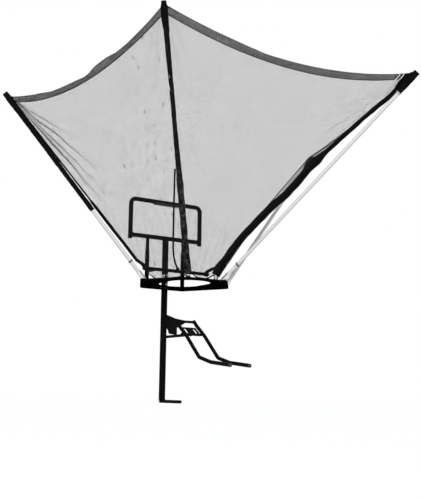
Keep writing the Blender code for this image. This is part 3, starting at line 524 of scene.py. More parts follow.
def wear_group():
    """Dust on what faces up, long fine scuffs, and a patchy sheen, over a base colour."""
    inputs = {"Vector": VECTOR, "Colour": COLOUR, "Dust Colour": COLOUR, "Scuff Colour": COLOUR,
              "Dust": FLOAT, "Scuffs": FLOAT, "Roughness": FLOAT}
    group = Group("surface_wear", inputs, {"Colour": COLOUR, "Roughness": FLOAT})
    given, where = group.given, group.given["Vector"]
    normal = group.node("ShaderNodeNewGeometry").outputs["Normal"]
    up = group.remap(group.node("ShaderNodeSeparateXYZ", {0: normal}).outputs["Z"], 0.35, 1.0)
    patch = group.remap(group.noise(where, 38, 4), 0.40, 0.72)
    dust = group.times(group.times(up, patch), given["Dust"])
    streak = group.remap(group.noise(group.scaled(where, (60, 60, 9)), 6.0, 3, 0.6), 0.66, 0.74)
    fine = group.remap(group.noise(group.scaled(where, (14, 150, 150)), 4.0, 2, 0.6), 0.68, 0.76)
    scuff = group.times(group.math("MAXIMUM", streak, fine), given["Scuffs"])
    dusty = group.mix(dust, given["Colour"], given["Dust Colour"])
    sheen = group.remap(group.noise(where, 16, 3), 0.3, 0.7, -0.06, 0.08)
    rough = group.plus(group.plus(given["Roughness"], sheen), group.times(dust, 0.3))
    return group.gives(Colour=group.mix(scuff, dusty, given["Scuff Colour"]),
                       Roughness=group.less(rough, group.times(scuff, 0.1)))


def grain_group():
    """A normal with the small orange-peel grain of a sprayed or moulded surface."""
    group = Group("fine_grain", {"Vector": VECTOR, "Scale": FLOAT, "Depth": FLOAT}, {"Normal": VECTOR})
    noise = group.noise(group.given["Vector"], group.given["Scale"])
    return group.gives(Normal=group.bump(noise, group.given["Depth"], 0.0004))


def weave_group():
    """Webbing: warp and weft threads that pass over each other, from the piece's own UV in metres."""
    inputs = {"UV": VECTOR, "Thread": FLOAT, "Depth": FLOAT}
    group = Group("webbing_weave", inputs, {"Shade": FLOAT, "Normal": VECTOR})
    across, along = group.counted("Thread")
    over = group.remap(group.wave(group.plus(across, group.times(along, 0.5))), -0.25, 0.25)
    warp = group.times(group.math("ABSOLUTE", group.wave(across)), over)
    weft = group.times(group.math("ABSOLUTE", group.wave(along)), group.less(1.0, over))
    height = group.plus(warp, weft)
    return group.gives(Shade=group.remap(height, 0.0, 1.0, 0.72, 1.15),
                       Normal=group.bump(height, group.given["Depth"], 0.0005))


def net_group():
    """Knitted mesh: slanting threads both ways with open holes between, from a UV in metres."""
    inputs = {"UV": VECTOR, "Pitch": FLOAT, "Thread Share": FLOAT}
    group = Group("open_mesh", inputs, {"Cover": FLOAT, "Height": FLOAT})
    across, along = group.counted("Pitch")
    edge = group.less(0.5, group.times(group.given["Thread Share"], 0.5))
    soft_edge = (group.less(edge, 0.02), group.plus(edge, 0.02))
    threads = []
    for slant in (group.plus(across, along), group.less(across, along)):
        middle = group.math("ABSOLUTE", group.less(group.math("FRACT", slant), 0.5))
        threads.append(group.remap(middle, *soft_edge))
    cover = group.math("MAXIMUM", *threads)
    return group.gives(Cover=cover, Height=group.plus(cover, group.times(*threads)))


WEAR = wear_group()
GRAIN = grain_group()
WEAVE = weave_group()
NET = net_group()


class Finish(Graph):
    """A material: a Principled shader with helper nodes round it."""

    def __init__(self, name, **values):
        self.material = bpy.data.materials.new(name)
        self.material.use_nodes = True
        super().__init__(self.material.node_tree)
        where = self.node("ShaderNodeTexCoord").outputs
        self.place = where["Object"]
        self.uv = where["UV"]
        self.to(**values)

    def to(self, **values):
        """Feed the Principled shader, and return the material."""
        for label, value in spaced(values).items():
            self.feed(self.tree.nodes["Principled BSDF"].inputs[label], value)
        return self.material

    def group(self, tree, **values):
        return self.node("ShaderNodeGroup", spaced(values), node_tree=tree).outputs

    def grain(self, scale, depth):
        return self.group(GRAIN, Vector=self.place, Scale=scale, Depth=depth)["Normal"]

    def fold(self):
        """The mesh's fold mark at each point: how far the cloth is gathered or rolled, and on the net its
        painted crease shade.
        """
        return self.node("ShaderNodeAttribute", attribute_name="fold").outputs["Fac"]


DUST_COLOUR = (0.30, 0.28, 0.25)
SCUFF_COLOUR = (0.12, 0.12, 0.12)


def coated(name, colour, roughness, dust, scuffs, grain, gloss=0.5, worn=(DUST_COLOUR, SCUFF_COLOUR)):
    """Powder coat, paint, rubber or moulded plastic: fine grain, dust on top and a few rubbed scuffs."""
    look = Finish(name)
    wear = look.group(WEAR, Vector=look.place, Colour=opaque(colour), Dust=dust, Scuffs=scuffs,
                      Roughness=roughness, Dust_Colour=opaque(worn[0]), Scuff_Colour=opaque(worn[1]))
    return look.to(Base_Color=wear["Colour"], Roughness=wear["Roughness"], Normal=look.grain(*grain),
                   Specular_IOR_Level=gloss)


def plated_steel(name, colour, roughness):
    """Zinc or chrome plate with faint turning lines and a few dull spots."""
    look = Finish(name, Metallic=1.0)
    lines = look.remap(look.noise(look.scaled(look.place, (30, 30, 1400)), 1.0, 2), 0.3, 0.7, 0.0, 0.35)
    spots = look.remap(look.noise(look.place, 60, 4), 0.45, 0.75, roughness, roughness + 0.22)
    darker = opaque(0.75 * part for part in colour)
    return look.to(Base_Color=look.mix(lines, opaque(colour), darker), Roughness=spots,
                   Normal=look.grain(*PLATE_GRAIN))


def webbing(name, colour, thread=0.0011, highlight_mottling=0.0):
    """Woven strap or sleeve: threads from the UV, faded patches, and pale blots of painted highlight on
    crumpled cloth, strongest where it is slack.
    """
    look = Finish(name, Roughness=0.86)
    weave = look.group(WEAVE, UV=look.uv, Thread=thread, Depth=0.6)
    patch = look.remap(look.noise(look.place, 11, 4, 0.6), 0.35, 0.70)
    faded = opaque(part * 1.6 + 0.001 for part in colour)
    base = look.mix(look.times(patch, 0.5), opaque(colour), faded)
    if highlight_mottling:
        # Pale blots: painted highlight on crumpled cloth, stronger where the fold mark says the cloth is
        # slack
        highlight_blots = look.remap(look.noise(look.place, 46, 3, 0.6), 0.46, 0.62)
        highlight_blots = look.times(highlight_blots, look.math("MULTIPLY_ADD", look.fold(), highlight_mottling, highlight_mottling * 0.25))
        base = look.mix(highlight_blots, base, (0.13, 0.13, 0.14, 1))
    shade = look.node("ShaderNodeCombineColor", dict.fromkeys(("Red", "Green", "Blue"), weave["Shade"]))
    return look.to(Base_Color=look.mix(1.0, base, shade.outputs["Color"], "MULTIPLY"),
                   Normal=weave["Normal"], Specular_IOR_Level=0.05)


def mesh_cloth(name, colour, pitch, thread_share, gather, streaks):
    """See-through knitted mesh: the threads are dark and the holes are open. Threads close up where the
    mesh's fold mark is high, which on the net is painted shade along its creases and on the hem follows
    its roll, and they lie in long streaks where it is doubled."""
    look = Finish(name, Roughness=0.80)
    streak = look.noise(look.scaled(look.uv, (5, 260, 1)), 1.0, 3, 0.6)
    # The fold mark thickens the threads: painted shade along the net's creases, and the roll on the hem
    share = look.plus(look.math("MULTIPLY_ADD", look.fold(), gather, thread_share),
                      look.remap(streak, 0.3, 0.7, -streaks, streaks))
    net = look.group(NET, UV=look.uv, Pitch=pitch, Thread_Share=share)
    patch = look.remap(look.noise(look.place, 5, 4, 0.6), 0.3, 0.7, 0.85, 1.2)
    shade = look.node("ShaderNodeVectorMath", {0: colour, "Scale": patch}, operation="SCALE")
    return look.to(Base_Color=shade.outputs["Vector"], Alpha=net["Cover"], Specular_IOR_Level=0.15,
                   Normal=look.bump(net["Height"], 0.4, 0.0006))


# Grain of each kind of surface: scale and depth
STEEL_GRAIN = (900.0, 0.12)
PLATE_GRAIN = (1600.0, 0.12)
POLE_GRAIN = (500.0, 0.08)
STIPPLE = (1300.0, 0.6)
COAT_COLOUR = (0.0036, 0.0036, 0.0042)
MATTE_STEEL = coated("matte_powder_coat", COAT_COLOUR, 0.80, 0.05, 0.06, STEEL_GRAIN, 0.0)
# The sleeve's pale blots are painted highlight on its crumpled cloth
SLEEVE_CLOTH = webbing("sleeve_cloth", (0.0040, 0.0040, 0.0045), 0.0007, highlight_mottling=0.40)
FINISH_OF_SLOT = {
    "black_steel": coated("black_powder_coat", COAT_COLOUR, 0.55, 0.05, 0.08, STEEL_GRAIN, 0.015),
    "zinc_steel": plated_steel("zinc_plate", (0.56, 0.57, 0.60), 0.30),
    "chrome": plated_steel("bright_chrome", (0.80, 0.81, 0.83), 0.08),
    "white_pole": coated("white_pole_coat", (0.78, 0.78, 0.77), 0.24, 0.06, 0.22, POLE_GRAIN, 0.06,
                         worn=((0.55, 0.52, 0.46), (0.50, 0.50, 0.50))),
    "rubber": coated("pad_rubber", (0.010, 0.010, 0.010), 0.80, 0.25, 0.15, STIPPLE),
    "black_plastic": coated("plug_plastic", (0.010, 0.010, 0.011), 0.55, 0.25, 0.15, STIPPLE),
    "bearing_plastic": coated("bearing_plastic", (0.30, 0.23, 0.13), 0.55, 0.25, 0.15, STIPPLE),
    "black_webbing": webbing("black_webbing", (0.0034, 0.0034, 0.0038)),
    "white_cord": webbing("white_cord", (0.62, 0.62, 0.62), 0.0006),
    "hem_mesh": mesh_cloth("hem_mesh", (0.028, 0.025, 0.022), 0.0026, 0.67, 0.10, 0.10),
    "net_mesh": mesh_cloth("net_mesh", (0.009, 0.009, 0.0095), MESH_PITCH, MESH_THREAD_SHARE, 0.55, 0.0),
}


def dress(piece, slot="black_webbing", body="frame", node=None, finish=None):
    """Hide the CAD node that a modelled piece stands for, if it does, parent the piece to the body that
    it rides on, and give it its slot's finish unless another is given."""
    if node:
        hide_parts(node)
    piece.data.materials.clear()
    piece.data.materials.append(finish or FINISH_OF_SLOT[slot])
    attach(piece, body)
    return piece


def dress_cad_nodes():
    """The rigid CAD nodes keep their shape and get their finish, welded and shaded round."""
    for name, node in NODES.items():
        node.data.materials.clear()
        matte = name in ("drop_plate", "plate_rim")
        node.data.materials.append(MATTE_STEEL if matte else FINISH_OF_SLOT[SLOT_OF[name]])
        node.data.polygons.foreach_set("use_smooth", np.ones(len(node.data.polygons), bool))
        weld = node.modifiers.new("weld", "WELD")
        weld.merge_threshold = MERGE_DISTANCE
        split = node.modifiers.new("edges", "EDGE_SPLIT")
        split.split_angle = SHARP_EDGE


# Net funnel

def above_plate(points):
    """The points, with any that would sink into the drop plate laid on its top."""
    points[..., 2] = np.maximum(points[..., 2], PLATE_TOP + NET_SEAT)
    return points


class Panel:
    """One panel of the funnel between two edges, with its hanging top and slight belly.

    A point is on the straight line between the edges at the same share down, dropped by the sag,
    which is greatest in the middle of the top, and pushed out by the belly.
    """

    def __init__(self, left, right, sag, bottom_sag):
        self.left = left
        self.right = right
        self.sag = sag
        self.bottom_sag = bottom_sag
        start, end = np.zeros(1), np.ones(1)
        across = right(start)[0] - left(start)[0]
        self.out = unit(np.cross(across, left(end)[0] - left(start)[0]))

    def at(self, across, down):
        hang = 4 * across * (1 - across)
        rest = np.clip(1 - down, 0, None)
        drop = (self.sag * rest ** SAG_FADE_POWER + self.bottom_sag * down) * hang
        belly = NET_BELLY * hang * 4 * down * rest
        start, end = self.left(down), self.right(down)
        points = start + (end - start) * across[..., None]
        return above_plate(points - np.array([0, 0, 1]) * drop[..., None] + self.out * belly[..., None])

    def height(self, across):
        """Length of the panel from top to foot at a share across it."""
        span = self.at(across, np.ones_like(across)) - self.at(across, np.zeros_like(across))
        return np.linalg.norm(span, axis=-1)

    def width(self, down):
        return np.linalg.norm(self.right(down) - self.left(down), axis=-1)

    def normals(self, across, down):
        """Unit normals from the differences between nearby points."""
        over = self.at(across + NORMAL_STEP, down) - self.at(across - NORMAL_STEP, down)
        above, under = (self.at(across, np.clip(down + step, 0, 1)) for step in (-NORMAL_STEP, NORMAL_STEP))
        return unit(np.cross(over, under - above))


def straight_edge(top, foot, shift=(0, 0, 0)):
    """The straight line from a top to a foot, moved by a shift, read at shares of the way down."""
    top, foot, shift = (np.asarray(value, float) for value in (top, foot, shift))
    return lambda down: lerp(top, foot, down) + shift


def empty_sleeve_edge(shift=(0, 0, 0)):
    """The line down the middle of the empty sleeve beside the front right pole, moved by a shift: from
    the pole's tip inwards, down to the foot, read from a smooth curve through its measured places."""
    pole = POLES["front_right"]
    inward = pole.side_towards((0, DROP_HOLE_Y, POLES["rear_right"].tip[2]))
    top = (pole.length - EMPTY_SLEEVE_TOP_DROP, POCKET_RADIUS + SEAM_GAP + BAND_THICKNESS / 2)
    marks = np.array([top, *EMPTY_SLEEVE_LINE])
    line = smooth_path(np.column_stack([marks, np.zeros(len(marks))]), 8)[::-1]
    shift = np.asarray(shift, float)

    def at(down):
        rise = top[0] + (FRONT_EDGE_FOOT_RISE - top[0]) * down
        aside = np.interp(rise, line[:, 0], line[:, 1])
        return pole.at(rise) + inward * aside[..., None] + shift

    return at


def rear_band(corner, neighbour, sign):
    """Top, foot and width direction of a rear corner band, the cross bar's end below it, and the way
    that its strap runs up from there."""
    pole = POLES[corner]
    across = POLES[neighbour].tip - pole.tip
    behind = unit(np.cross(across, pole.axis)) * sign
    bar_end = np.array([sign * CROSS_BAR_HALF, CROSS_BAR_Y, CROSS_BAR_Z])
    reach = unit(pole.tip - bar_end)
    foot = bar_end + reach * (CROSS_BAR_RADIUS * 2) + reach * BAND_STRAP_LENGTH
    top = pole.below_tip(BAND_TOP_DROP) + behind * (POCKET_RADIUS + SEAM_GAP + BAND_THICKNESS / 2)
    way = unit(foot - top)
    return {"top": top, "foot": foot, "wide": clear_of(across, way), "reach": reach, "bar_end": bar_end}


REAR_BANDS = {
    "rear_left": rear_band("rear_left", "front_left", -1),
    "rear_right": rear_band("rear_right", "front_right", 1),
}
# How far each panel's edge lies beside the middle of its band or sleeve
BAND_LIP = (BAND_WIDTH / 2 + SEAM_GAP) * 0.4
EMPTY_SLEEVE_LIP = 0.004
# How far each panel's top and foot hang down in their middle
SAGS = {"left": (0.121, 0.090), "front": (0.118, 0.048), "right": (0.030, 0.088)}


def rear_edge(corner):
    """The edge of the panel that a rear corner's band is sewn to."""
    band = REAR_BANDS[corner]
    return straight_edge(band["top"], band["foot"], band["wide"] * BAND_LIP)


def funnel_panels():
    """The three panels, between the rear bands, the front left pole and the empty sleeve."""
    pole = POLES["front_left"]
    top, foot = pole.below_tip(BAND_TOP_DROP), pole.at(FRONT_LEFT_FOOT_RISE)
    left_way, front_way = (pole.side_towards(POLES[corner].tip) * PANEL_SIDE_STEP
                           for corner in ("rear_left", "front_right"))
    shift = np.array(FACING) * EMPTY_SLEEVE_LIP
    return {
        "left": Panel(rear_edge("rear_left"), straight_edge(top, foot, left_way), *SAGS["left"]),
        "front": Panel(straight_edge(top, foot, front_way), empty_sleeve_edge(-shift), *SAGS["front"]),
        "right": Panel(empty_sleeve_edge(shift), rear_edge("rear_right"), *SAGS["right"]),
    }


PANELS = funnel_panels()
# Seed of each panel's unevenness
NET_SEEDS = {"left": 40, "front": 47, "right": 54}

# Tension folds of each panel: top corner that it runs from (0 left, 1 right), angle below level, length,
# height, width, and how dark the painted shade along its crease is
FOLDS = {
    "left": [
        (0, 62, 0.98, 0.010, 0.012, 1.0), (0, 56, 0.90, 0.008, 0.010, 0.6),
        (0, 47, 0.80, 0.007, 0.012, 0.7), (0, 36, 0.55, 0.005, 0.014, 0.4),
        (1, 118, 0.50, 0.006, 0.014, 0.1), (1, 132, 0.40, 0.005, 0.016, 0.1),
    ],
    "front": [
        (0, 58, 0.60, 0.006, 0.016, 0.1), (0, 44, 0.46, 0.005, 0.014, 0.1),
        (1, 128, 0.75, 0.008, 0.014, 0.3), (1, 140, 0.60, 0.006, 0.014, 0.2),
        (1, 117, 0.95, 0.006, 0.014, 0.3),
    ],
    "right": [
        (0, 50, 0.50, 0.006, 0.016, 0.2), (0, 64, 0.70, 0.006, 0.016, 0.2),
        (1, 125, 0.50, 0.006, 0.016, 0.2),
    ],
}
# Length and height of the soft billows
BILLOWS = ((0.30, 0.0045), (0.11, 0.0014))
# How strongly each panel's painted shade of short crinkles shows
CRINKLE_SHADES = {"left": 0.8, "front": 0.4, "right": 0.4}


def cloth_relief(side, x, y, width, down):
    """Height of the cloth off its smooth surface, and a mask of painted crease shade there. Each tension fold
    is a bell across a line from a corner, fading along it, with a thin line of painted shade beside it. Soft
    billows and, towards the narrow foot, pleats are added; so are the painted shade of short crinkles,
    painted shade that grows towards the foot and follows the pleats, and a little random tone."""
    seed = NET_SEEDS[side]
    relief = sum(ripple(x, y, seed + i, long) * tall for i, (long, tall) in enumerate(BILLOWS))
    # Painted shade of short crinkles, with no height of their own
    crease_shade = np.clip(ripple(x * 1.6, y * 0.8, seed + 4, 0.055, 11) - 0.95, 0, 1) * CRINKLE_SHADES[side]
    top_width = width.max()
    for corner, angle, length, tall, wide, crease_shade_strength in FOLDS[side]:
        turn = math.radians(angle)
        from_x = x - (corner - 0.5) * top_width
        along = from_x * math.cos(turn) + y * math.sin(turn)
        wander = ripple(along, along, seed + angle, 0.4) * 0.006
        aside = y * math.cos(turn) - from_x * math.sin(turn) + wander
        span = np.clip(along / length, 0, 1)
        begin = ease(along / 0.05)
        fade = begin * (1 - ease(span))
        line_fade = begin * (1 - ease((span - CREASE_SHADE_FULL_SHARE) / (1 - CREASE_SHADE_FULL_SHARE)))
        relief = relief + tall * bell(aside, wide * (0.5 + 1.2 * span)) * fade
        # A thin line of painted shade beside the fold's ridge, and a faint wide one over it
        line = bell(aside - wide, CREASE_SHADE_WIDTH) * 0.9 + bell(aside, wide * 1.5) * 0.10
        crease_shade = crease_shade + line * line_fade * crease_shade_strength
    pleats = np.sin(x * TAU / PLEAT_SPACING + ripple(x, y, seed + 2, 0.5) * 1.4)
    gather = ease((down - 0.55) / 0.45)
    relief = relief + pleats * PLEAT_HEIGHT * gather
    # Painted shade that grows towards the foot and follows the pleats, and a little random tone
    crease_shade = crease_shade + (0.03 + 0.04 * pleats) * gather + (ripple(x, y, seed + 3, 0.26) + 0.4) * 0.012
    return relief, np.clip(crease_shade, 0, 1)


def build_net_panel(side):
    """Fine mesh panel from just under its hem to its foot, tucked under the bands at its sides. Given
    with its widest width by greatest height, and its area."""
    panel = PANELS[side]
    across, share = shares_over(NET_GRID)
    height = panel.height(across)
    start = (HEM_HEIGHT - NET_TUCK_UNDER_HEM) / height
    down = start + (1 - start) * share
    width = panel.width(down)
    reach = across + (across - 0.5) * 2 * NET_TUCK_AT_SIDES / width
    x = (across - 0.5) * width
    y = down * height
    side_fade = ease(np.minimum(across, 1 - across) / 0.05)
    edge_fade = side_fade * ease(share / 0.05) * ease((0.985 - share) / 0.03)
    relief, crease_shade = cloth_relief(side, x, y, width, down)
    points = panel.at(reach, down) + panel.normals(across, down) * (relief * edge_fade)[..., None]
    # The crease mask goes on the mesh as its fold mark, which the net's finish turns into painted shade
    piece = sheet_object(f"net_{side}", above_plate(points), paired(x, y), 0.0, crease_shade)
    dress(piece, "net_mesh", node=f"net_panel_{side}")
    return piece, (float(width.max()), float(height.max())), grid_area(panel.at(across, down))


def build_foot_binding(side):
    """Black tape sewn along a panel's foot: a strip of the panel's own surface, a little thicker."""
    panel = PANELS[side]
    across, share = shares_over(BINDING_GRID)
    down = 1 - FOOT_BINDING_HEIGHT / panel.height(across) * (1 - share)
    uvs = paired(across * panel.width(down), share * FOOT_BINDING_HEIGHT)
    return dress(sheet_object(f"foot_binding_{side}", panel.at(across, down), uvs, BINDING_THICKNESS))


# Hems, bands and stitches

# How far each hem rolls over on itself, at shares across its panel
HEM_ROLLS = {
    "left": [
        (0.00, 0.34), (0.10, 0.27), (0.22, 0.27), (0.30, 0.42), (0.40, 0.40), (0.475, 0.42), (0.525, 0.50),
        (0.560, 0.44), (0.60, 0.20), (0.65, 0.02), (0.68, 0.10), (0.73, 0.37), (0.80, 0.40), (0.86, 0.34),
        (0.93, 0.30), (1.00, 0.16),
    ],
    "front": [
        (0.00, 0.0), (0.20, 0.05), (0.36, 0.33), (0.50, 0.26), (0.62, 0.20), (0.80, 0.04), (1.00, 0.05),
    ],
    "right": [(0.00, 0.0), (0.50, 0.25), (1.00, 0.0)],
}
HEM_FOLD_SHARE = 0.46


def hem_points(side, across, share, lift=0.0):
    """The denser top strip. Its upper part turns over about a line near its middle by an angle that
    grows where the strip rolls, pressed half flat, and it stands off the net by a lift."""
    panel = PANELS[side]
    places, amounts = zip(*HEM_ROLLS[side])
    roll = np.interp(across, places, amounts)
    height = panel.height(across)
    above = np.clip(HEM_FOLD_SHARE - share, 0, None)
    below = np.maximum(share, HEM_FOLD_SHARE)
    turn = math.pi * roll
    down = (below - above * np.cos(turn)) * HEM_HEIGHT
    out = above * np.sin(turn) * HEM_HEIGHT * HEM_FLATTEN_SHARE + lift
    out = out + 0.0005 * np.sin(across * 61 + share * 3)
    base = panel.at(across, np.clip(down, 0, None) / height)
    normals = panel.normals(across, np.clip(down / height, 0.005, 1))
    away = normals if (normals.mean((0, 1)) @ panel.out) > 0 else -normals
    return base + away * out[..., None], roll


def build_hem(side):
    """The strip's sheet, a bead of cord in its top edge and the seam at its foot."""
    across, share = shares_over(HEM_GRID)
    points, roll = hem_points(side, across, share, HEM_LIFT)
    width = float(PANELS[side].width(np.zeros(1))[0])
    piece = sheet_object(f"hem_{side}", points, paired(across * width, share * HEM_HEIGHT), 0.0, roll)
    pieces = [dress(piece, "hem_mesh", node=f"top_hem_{side}")]
    line = across[:1]
    for label, place, radius in HEM_BEADS:
        path, _ = hem_points(side, line, np.full_like(line, place), BEAD_LIFT)
        pieces.append(dress(swept(f"hem_{label}_{side}", path[0], radius, 8, (0, 0, 1))))
    return pieces


def strap_object(name, centre, wide, width, thickness, curl, seed):
    """Flat webbing along a centre line: a grid across its width, which may change along it, slightly
    curled and uneven."""
    wide, flat = cross_frames(centre, wide)
    run = run_along(centre)
    side = np.linspace(-0.5, 0.5, BAND_GRID[1])
    bend = curl * (4 * side[None, :] ** 2) + ripple(run[:, None], side[None, :] * 0.2, seed, 0.16) * 0.0007
    reach = side[None, :] * np.broadcast_to(width, (len(centre),))[:, None]
    points = centre[:, None] + wide[:, None] * reach[..., None] + flat[:, None] * bend[..., None]
    return sheet_object(name, points, paired(reach, run[:, None]), thickness)


def sew(name, centre, wide, offset=0.0, face=1, step=STITCH_STEP, length=STITCH_LENGTH, **looks):
    """A row of short raised stitches beside a centre line: small closed loops of thread."""
    run = run_along(centre)
    starts = np.arange(step, run[-1] - step, step)
    sides = 5
    along = np.linspace(0, 1, 4)
    turn = np.linspace(0, TAU, sides, endpoint=False)
    places = np.stack([np.interp(starts[:, None] + along[None] * length, run, centre[:, axis])
                       for axis in range(3)], axis=-1)
    wide, flat = square_to(unit(places[:, -1] - places[:, 0]), wide)
    flat = flat * face
    rise = STITCH_RISE + np.sin(along * math.pi) * STITCH_ARCH
    aside = np.interp(starts, run, np.broadcast_to(offset, (len(centre),)))[:, None, None]
    middle = places + wide[:, None] * aside + flat[:, None] * rise[None, :, None]
    points = middle[:, :, None] + circle(turn, wide[:, None, None], flat[:, None, None]) * STITCH_RADIUS
    block = len(along) * sides
    quads = grid_faces(len(along), sides, round_columns=True)
    caps = np.array([list(range(sides))[::-1], list(range(block - sides, block))])
    faces = [face for shape in (quads, caps) for index in range(len(starts))
             for face in (shape + index * block).tolist()]
    return dress(new_object(name, points, faces), **looks)


def build_bands():
    """Black webbing down the two rear corners, each with two rows of stitches. The left one is a narrow
    tape as far as the long pocket reaches."""
    down = np.linspace(0, 1, BAND_GRID[0])
    for corner, band in REAR_BANDS.items():
        centre = straight_edge(band["top"], band["foot"])(down)
        width = np.full_like(down, BAND_WIDTH)
        if corner == "rear_left":
            widening = ease((down - LONG_POCKET_POLE_SHARE + 0.02) / 0.06)
            width = TAPE_WIDTH + (BAND_WIDTH - TAPE_WIDTH) * widening
        piece = strap_object(f"band_{corner}", centre, band["wide"], width, BAND_THICKNESS, 0.0010, 5)
        dress(piece, node=f"corner_band_{corner}")
        for row, way in enumerate((-BAND_ROW_SHARE, BAND_ROW_SHARE)):
            for face, label in ((-1, "in"), (1, "out")):
                sew(f"stitches_{corner}_{row}_{label}", centre, band["wide"], width * way, face)


def build_empty_sleeve():
    """The sleeve that hangs empty beside the front right pole: flat, narrow near the tip, wide below,
    with a small bulge where it changes, and wider again round its foot."""
    pole = POLES["front_right"]
    centre = empty_sleeve_edge()(np.linspace(0, EMPTY_SLEEVE_END_SHARE, 300))
    rise = (centre - pole.foot) @ pole.axis
    bulge = bell(rise - BULGE_RISE, BULGE_SPREAD)
    half_width = EMPTY_SLEEVE_NARROW + EMPTY_SLEEVE_WIDENING * ease((1.02 - rise) / 0.12) + 0.004 * bulge
    half_width = half_width + 0.004 * ease((0.10 - rise) / 0.08)
    half_depth = 0.0052 + 0.0016 * np.sin(rise * 41) * np.sin(rise * 17) + 0.002 * bulge
    half_depth[[0, -1]] = 0.0020
    piece = flat_tube("empty_sleeve_front_right", centre, pole.across, half_width, half_depth, 61, 0.0010)
    dress(piece, node="corner_band_front_right")
    for row, way in enumerate((-EMPTY_SLEEVE_ROW_SHARE, EMPTY_SLEEVE_ROW_SHARE)):
        seam = centre + pole.wide * (half_width * way)[:, None]
        sew(f"empty_sleeve_stitches_{row}", seam, pole.across)


def build_band_straps():
    """The strap at the foot of each rear band: round the cross bar and back up over itself."""
    along_bar = np.array([1.0, 0, 0])
    for corner, band in REAR_BANDS.items():
        reach, bar_end = band["reach"], band["bar_end"]
        centre = bar_end - along_bar * math.copysign(STRAP_INSET, bar_end[0])
        up = clear_of(reach, along_bar)
        out = unit(np.cross(along_bar, up))
        turn = np.linspace(-0.42 * math.pi, 1.42 * math.pi, 40)
        loop = centre + circle(turn, out, -up) * (CROSS_BAR_RADIUS + STRAP_GAP)
        foot = band["foot"] + reach * STRAP_LAP
        lead = lerp(foot + out * STRAP_THICKNESS, loop[0], np.linspace(0, 0.94, 14))
        tail = lerp(loop[-1], foot - out * STRAP_THICKNESS, np.linspace(0.06, 1, 14))
        path = np.vstack([lead, loop, tail])
        strap = strap_object(f"strap_{corner}", path, along_bar, BAND_STRAP_WIDTH, STRAP_THICKNESS, 0.0, 3)
        dress(strap, node=f"band_strap_{corner}")
        tack_path = lerp(foot - reach * 0.004, foot + reach * 0.010, np.linspace(0, 1, 12))
        for row, offset in enumerate((-0.006, 0.006)):
            sew(f"tack_{corner}_{row}", tack_path, band["wide"], offset, 1, 0.004, 0.003,
                slot="white_cord")


# Fabric on the poles

# Each pocket: how far it reaches past the pole's tip, half its width at that end and where it is full,
# and how much of its spare width lies to one side of the pole
POCKETS = {
    "rear_left": (0.012, 0.0165, 0.0185, -0.6),
    "front_left": (0.004, 0.0125, 0.0178, 0.3),
    "front_right": (0.026, 0.0185, 0.0220, 0.6),
    "rear_right": (0.012, 0.0125, 0.0200, 0.0),
}


def pocket_widths(corner, run):
    """Half the width and depth of a tip pocket at each distance below the tip: flat where it is sewn
    together past the tip, full over the pole's end, and drawn in again where it stops."""
    reach, end_width, full_width, _ = POCKETS[corner]
    half_width = end_width + (full_width - end_width) * ease((run + reach) / 0.045)
    half_width = half_width - (full_width - 0.0150) * ease((run - 0.085) / 0.045)
    half_depth = 0.0016 + 0.0112 * ease((run + 0.012) / 0.012) + 0.0016 * ease((run - 0.03) / 0.05)
    return half_width, half_depth


def pocket_middle(corner, run):
    """The pocket's middle line, beside the pole by the share of its spare width that lies there."""
    pole = POLES[corner]
    shift = (pocket_widths(corner, run)[0] - SNUG_HALF_WIDTH) * POCKETS[corner][3]
    return pole.below_tip(run) + pole.wide * shift[:, None]


def build_pockets():
    """Webbing pockets over the four pole tips. The rear left one runs on down its pole as a sleeve."""
    for index, (corner, pole) in enumerate(POLES.items()):
        run = np.linspace(-POCKETS[corner][0], POCKET_LENGTH, 72)
        half_width, half_depth = pocket_widths(corner, run)
        if corner == "rear_left":
            below = np.linspace(POCKET_LENGTH, pole.length * LONG_POCKET_POLE_SHARE, 220)[1:]
            slack = 0.0144 + 0.0006 * np.sin(below * 23) * np.sin(below * 61)
            run = np.concatenate([run, below])
            half_width = np.concatenate([half_width, slack])
            half_depth = np.concatenate([half_depth, slack])
        piece = flat_tube(f"pocket_{corner}", pocket_middle(corner, run), pole.across, half_width,
                          half_depth, 20 + index, 0.0006)
        dress(piece, node=f"tip_pocket_{corner}")
        turn = np.linspace(0, TAU, 49)
        deep = np.cross(pole.axis, pole.wide)
        for row, place in enumerate(POCKET_SEAMS):
            place = np.array([place])
            across, through = pocket_widths(corner, place)
            seam = pocket_middle(corner, place)[0] + circle(turn, pole.wide * across, deep * through)
            sew(f"pocket_stitches_{corner}_{row}", seam, pole.axis, step=0.006, length=0.004)


def build_pole_sleeve():
    """The cloth sleeve of the front left pole, close above and slack towards its foot, with pale blots
    of painted highlight that are strongest where it is slack.
    """
    pole = POLES["front_left"]
    run = np.linspace(POCKET_LENGTH - 0.004, pole.length - SLEEVE_END_RISE, 380)
    size = np.interp(run, SLEEVE_BELOW_TIP, SLEEVE_HALF_WIDTHS)
    slack = ease((run - 0.75) / 0.25)
    half_width = size + 0.0010 * np.sin(run * 45) * slack
    half_depth = size * (1 - 0.12 * slack)
    piece = flat_tube("sleeve_front_left", pole.below_tip(run), pole.across, half_width, half_depth, 31,
                      0.0008, slack)
    dress(piece, node="pole_sleeve_front_left", finish=SLEEVE_CLOTH)


